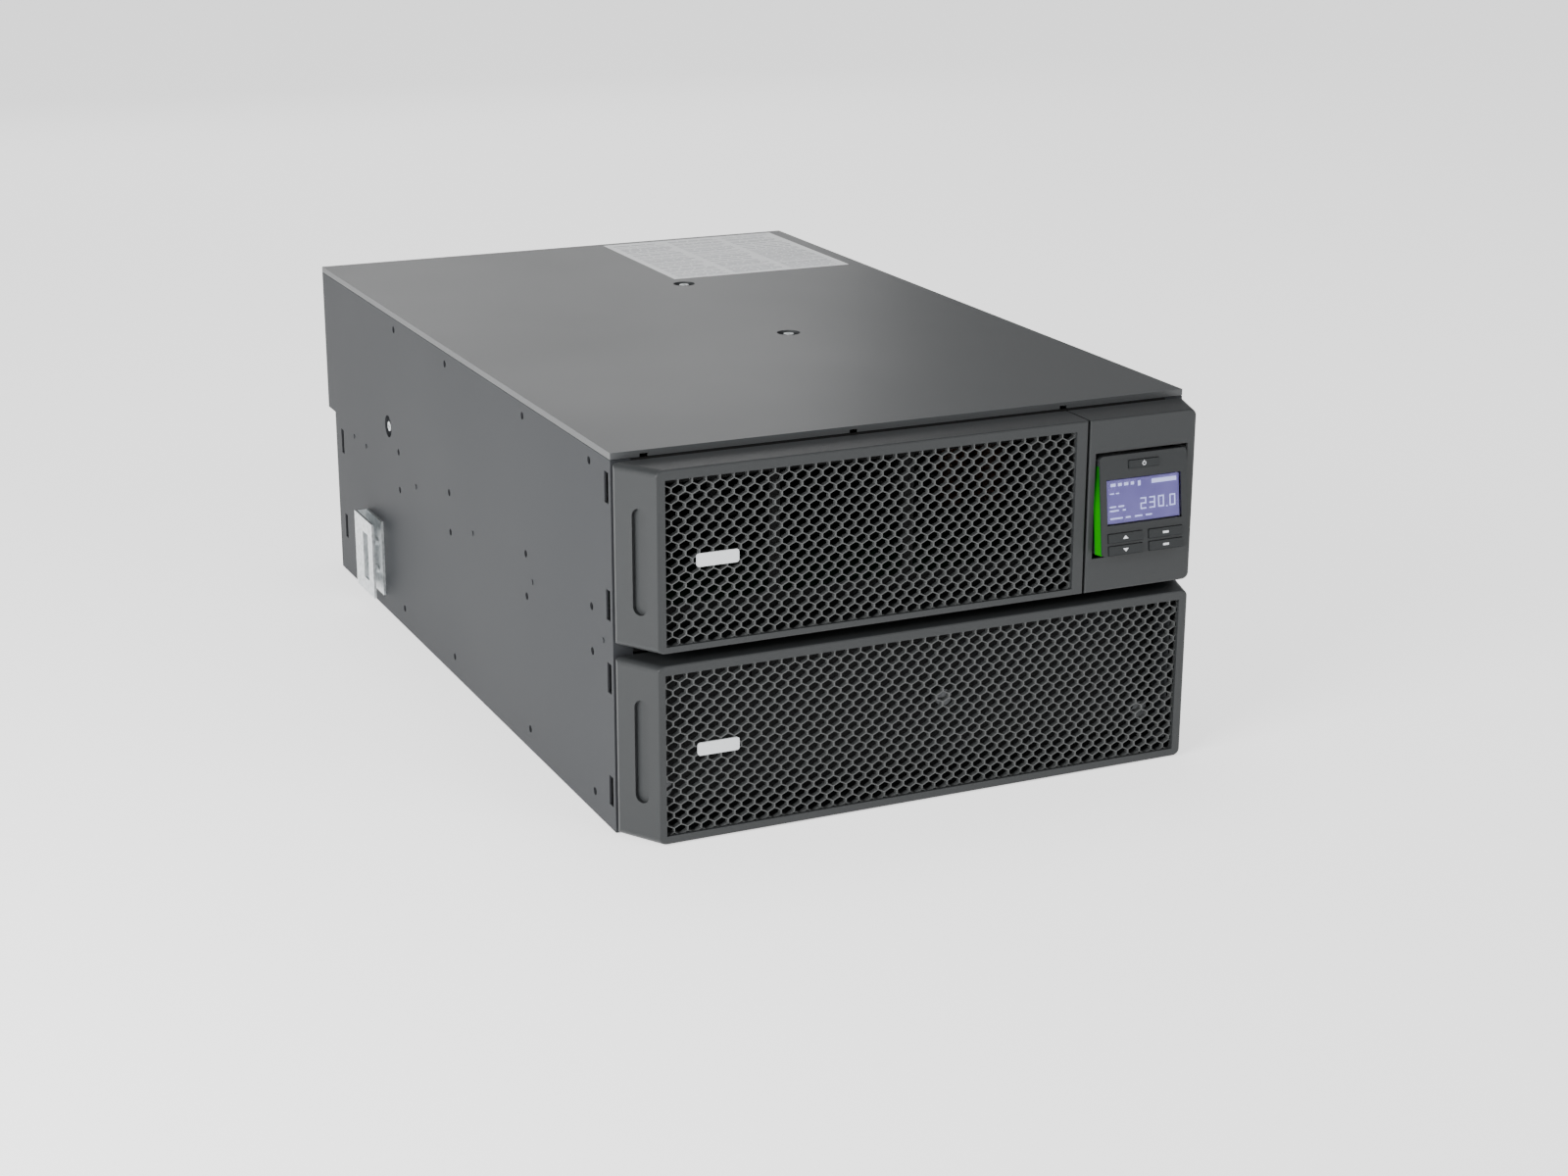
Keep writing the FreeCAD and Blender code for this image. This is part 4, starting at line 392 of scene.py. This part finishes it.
def round_edges(name, width):
    """A small bevel on a node's sharp edges, as a modifier, so the CAD mesh itself stays as it is."""
    bevel = nodes[name].modifiers.new("edges", "BEVEL")
    bevel.width = width * MM
    bevel.segments = 2
    bevel.limit_method = "ANGLE"
    bevel.angle_limit = EDGE_ANGLE
    bevel.harden_normals = False
    bevel.use_clamp_overlap = True


for edge_node, edge_width in EDGES.items():
    round_edges(edge_node, edge_width)

# ---------------------------------------------------------------- small pieces

# The display module in its own frame, in millimetres from the hinge line. These are part.py's sizes.
TILT = math.radians(7)
MODULE_TOP = 2.6
MODULE_FACE = -7.6
WINDOW_SINK = 0.4
WINDOW_THICK = 1.2
WINDOW_DROP = 16.6
HALF_WINDOW = 16
SCREEN_GAP = 0.05
KEY_PROUD = 0.9
KEY_ACROSS = 16.25
UPPER_KEYS = -55
LOWER_KEYS = -63.6
POWER_DROP = 7.4

# Prints on the screen and keys, in millimetres: how thick they are, and how far the key marks clear the key.
FIGURE_THICK = 0.015
MARK_THICK = 0.03
MARK_GAP = 0.005


def piece(name, build, material, body):
    """A mesh piece of one material, which rides on a body."""
    mesh = bpy.data.meshes.new(name)
    bmesh.ops.recalc_face_normals(build, faces=build.faces)
    build.to_mesh(mesh)
    build.free()
    mesh.materials.append(material)
    obj = bpy.data.objects.new(name, mesh)
    bpy.context.collection.objects.link(obj)
    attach(obj, body)
    return obj


def plate(build, corners, place, thick):
    """A thin plate with the outline corners, in the X and Z of the matrix place, thick along its -Y."""
    top = [build.verts.new(place @ Vector((x, -thick, z))) for x, z in corners]
    low = [build.verts.new(place @ Vector((x, 0, z))) for x, z in corners]
    build.faces.new(top)
    build.faces.new(list(reversed(low)))
    count = len(corners)
    for i in range(count):
        j = (i + 1) % count
        build.faces.new((top[i], low[i], low[j], top[j]))


def bar(x, z, across, up):
    """A rectangle's outline, from its centre and its size."""
    half_x, half_z = across / 2, up / 2
    left, right, low, high = x - half_x, x + half_x, z - half_z, z + half_z
    return [(left, low), (right, low), (right, high), (left, high)]


def millimetres(outline):
    return [(x * MM, z * MM) for x, z in outline]


def frame_joint(name):
    joint = next(j for j in frame["joints"] if j["name"] == name)
    return Vector(joint["pos_m"])


def module_frame(x, depth, z):
    """A place on the tilted display module, in millimetres from its hinge line. The module faces -Y."""
    hinge = frame_joint("display_tilt")
    turn = Matrix.Rotation(-TILT, 4, "X")
    return Matrix.Translation(hinge) @ turn @ Matrix.Translation(Vector((x, depth, z)) * MM)


# The lit bars of each digit. A bar has its place in half widths and half heights, and lies flat or stands.
SEGMENTS = {
    "0": "abcdef",
    "2": "abged",
    "3": "abgcd",
}
SEGMENT_BARS = {
    "a": (0, 1, True),
    "b": (1, 0.5, False),
    "c": (1, -0.5, False),
    "d": (0, -1, True),
    "e": (-1, -0.5, False),
    "f": (-1, 0.5, False),
    "g": (0, 0, True),
}


# The figure 230.0, in millimetres from the screen's centre: each digit's x, and the z and sizes they share.
FIGURE = ((0, "2"), (7.2, "3"), (14.4, "0"), (23.6, "0"))
FIGURE_MIDDLE = -3.2
FIGURE_WIDTH = 3.8
FIGURE_HEIGHT = 7.2
FIGURE_STROKE = 0.95
# The figure's point, then bars and blocks in place of text: x, z, width and height in millimetres.
SCREEN_BLOCKS = (
    (19, -7.2, 1, 1),
    (17, 11.6, 20, 3),
    (-24, 11.8, 4, 2.2),
    (-18.5, 11.8, 3, 2.2),
    (-13.5, 11.8, 3.4, 2.2),
    (-8.5, 11.8, 2.6, 2.2),
    (-3, 11.2, 2.2, 3.6),
    (-25, 5.8, 3.4, 0.8),
    (-20.5, 5.8, 2.6, 0.8),
    (-24.4, -3.4, 5, 1.1),
    (-17.8, -3.4, 4.6, 1.1),
    (-23.4, -6.2, 7, 1.1),
    (-15.5, -6.2, 2.4, 1.1),
    (-21.8, -11.6, 10, 1.1),
    (-12.4, -11.6, 4, 1.1),
    (-4, -11.6, 6, 1.1),
    (4.2, -11.6, 5, 1.1),
)


def digit(build, matrix, sign, x, z, wide, tall, stroke):
    for letter in SEGMENTS[sign]:
        across, up, flat = SEGMENT_BARS[letter]
        size = (wide + stroke, stroke) if flat else (stroke, tall / 2 + stroke)
        centre = (x + across * wide / 2, z + up * tall / 2)
        plate(build, millimetres(bar(*centre, *size)), matrix, FIGURE_THICK * MM)


def display_picture():
    """Plain figures, bars and line blocks on the lit screen."""
    face = MODULE_FACE + WINDOW_SINK + WINDOW_THICK + SCREEN_GAP
    matrix = module_frame(0, face, MODULE_TOP - WINDOW_DROP - HALF_WINDOW)
    build = bmesh.new()
    for x, sign in FIGURE:
        digit(build, matrix, sign, x, FIGURE_MIDDLE, FIGURE_WIDTH, FIGURE_HEIGHT, FIGURE_STROKE)
    for block in SCREEN_BLOCKS:
        plate(build, millimetres(bar(*block)), matrix, FIGURE_THICK * MM)
    piece("display_figures", build, glowing("figure_light", (0.6, 0.66, 1), 0.9), "display_module")


def arc(radius, steps=24):
    """Points along the open ring of the power sign, in millimetres."""
    angles = [RING_START + RING_TURN * i / steps for i in range(steps + 1)]
    return [(radius * math.cos(a), radius * math.sin(a)) for a in angles]


# The signs on the keys, in millimetres: two arrows, a dash, and the power sign's ring and stroke.
ARROW_UP = [(-2.2, -1), (2.2, -1), (0, 1.4)]
ARROW_DOWN = [(-2.2, 1), (0, -1.4), (2.2, 1)]
DASH = bar(0, 0, 4.6, 1.5)
SIGN_STROKE = 0.45
RING_RADIUS = 1.5
RING_START = math.radians(125)
RING_TURN = math.radians(290)
POWER_STROKE = bar(0, 1.1, SIGN_STROKE, 1.7)


def key_marks():
    """Pale signs printed on the keys."""
    ink = finish_of("key_ink", (0.75, 0.77, 0.8), 0.5, 1500, 0.1, variation=0.05)
    proud = MODULE_FACE - KEY_PROUD - MARK_GAP
    marks = {
        "button_up": (-KEY_ACROSS, UPPER_KEYS, ARROW_UP),
        "button_down": (-KEY_ACROSS, LOWER_KEYS, ARROW_DOWN),
        "button_escape": (KEY_ACROSS, UPPER_KEYS, DASH),
        "button_enter": (KEY_ACROSS, LOWER_KEYS, DASH),
    }
    for name, (x, z, outline) in marks.items():
        build = bmesh.new()
        plate(build, millimetres(outline), module_frame(x, proud, z), MARK_THICK * MM)
        piece(f"{name}_mark", build, ink, f"{name}_key")
    build = bmesh.new()
    matrix = module_frame(0, proud, MODULE_TOP - POWER_DROP)
    outer, inner = arc(RING_RADIUS), arc(RING_RADIUS - SIGN_STROKE)
    for i in range(len(outer) - 1):
        quad = [outer[i], outer[i + 1], inner[i + 1], inner[i]]
        plate(build, millimetres(quad), matrix, MARK_THICK * MM)
    plate(build, millimetres(POWER_STROKE), matrix, MARK_THICK * MM)
    piece("power_mark", build, ink, "power_button_key")


# The label's print: three columns of lines, each a row of blocks as long as words.
LABEL_MARGIN = 0.006
LABEL_COLUMNS = 3
COLUMN_GAP = 0.006
WORD_LENGTHS = (0.004, 0.016)
WORD_GAP = 0.0018
ROOM_FOR_WORD = 0.006
LINE_HEIGHTS = (0.0016, 0.0016, 0.0028)
LINE_GAPS = (0.0022, 0.0022, 0.005)
PRINT_THICK = 0.00003
PRINT_SUNK = 0.00001
PRINT_SEED = 7


def label_lines():
    """Grey blocks in place of the label's printing."""
    lo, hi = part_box("rating_label")
    build = bmesh.new()
    face_up = Matrix.Rotation(math.radians(-90), 4, "X")
    flat = Matrix.Translation(Vector((0, 0, hi.z - PRINT_SUNK))) @ face_up
    dice = random.Random(PRINT_SEED)
    left, right = lo.x + LABEL_MARGIN, hi.x - LABEL_MARGIN
    front, rear = lo.y + LABEL_MARGIN, hi.y - LABEL_MARGIN
    column = (right - left - (LABEL_COLUMNS - 1) * COLUMN_GAP) / LABEL_COLUMNS
    for index in range(LABEL_COLUMNS):
        start = left + index * (column + COLUMN_GAP)
        y = front
        while y < rear:
            high = dice.choice(LINE_HEIGHTS)
            x = start
            while x < start + column - ROOM_FOR_WORD:
                length = min(dice.uniform(*WORD_LENGTHS), start + column - x)
                outline = [(x, y), (x + length, y), (x + length, y + high), (x, y + high)]
                plate(build, outline, flat, PRINT_THICK)
                x += length + WORD_GAP
            y += high + dice.choice(LINE_GAPS)
    ink = finish_of("label_ink", (0.5, 0.51, 0.53), 0.6, 1200, 0.1, variation=0.1)
    piece("label_print", build, ink, "cabinet")


add_camera()
add_world()
add_floor()
for light_name, light_settings in LIGHTS.items():
    add_light(light_name, *light_settings)
display_picture()
key_marks()
label_lines()
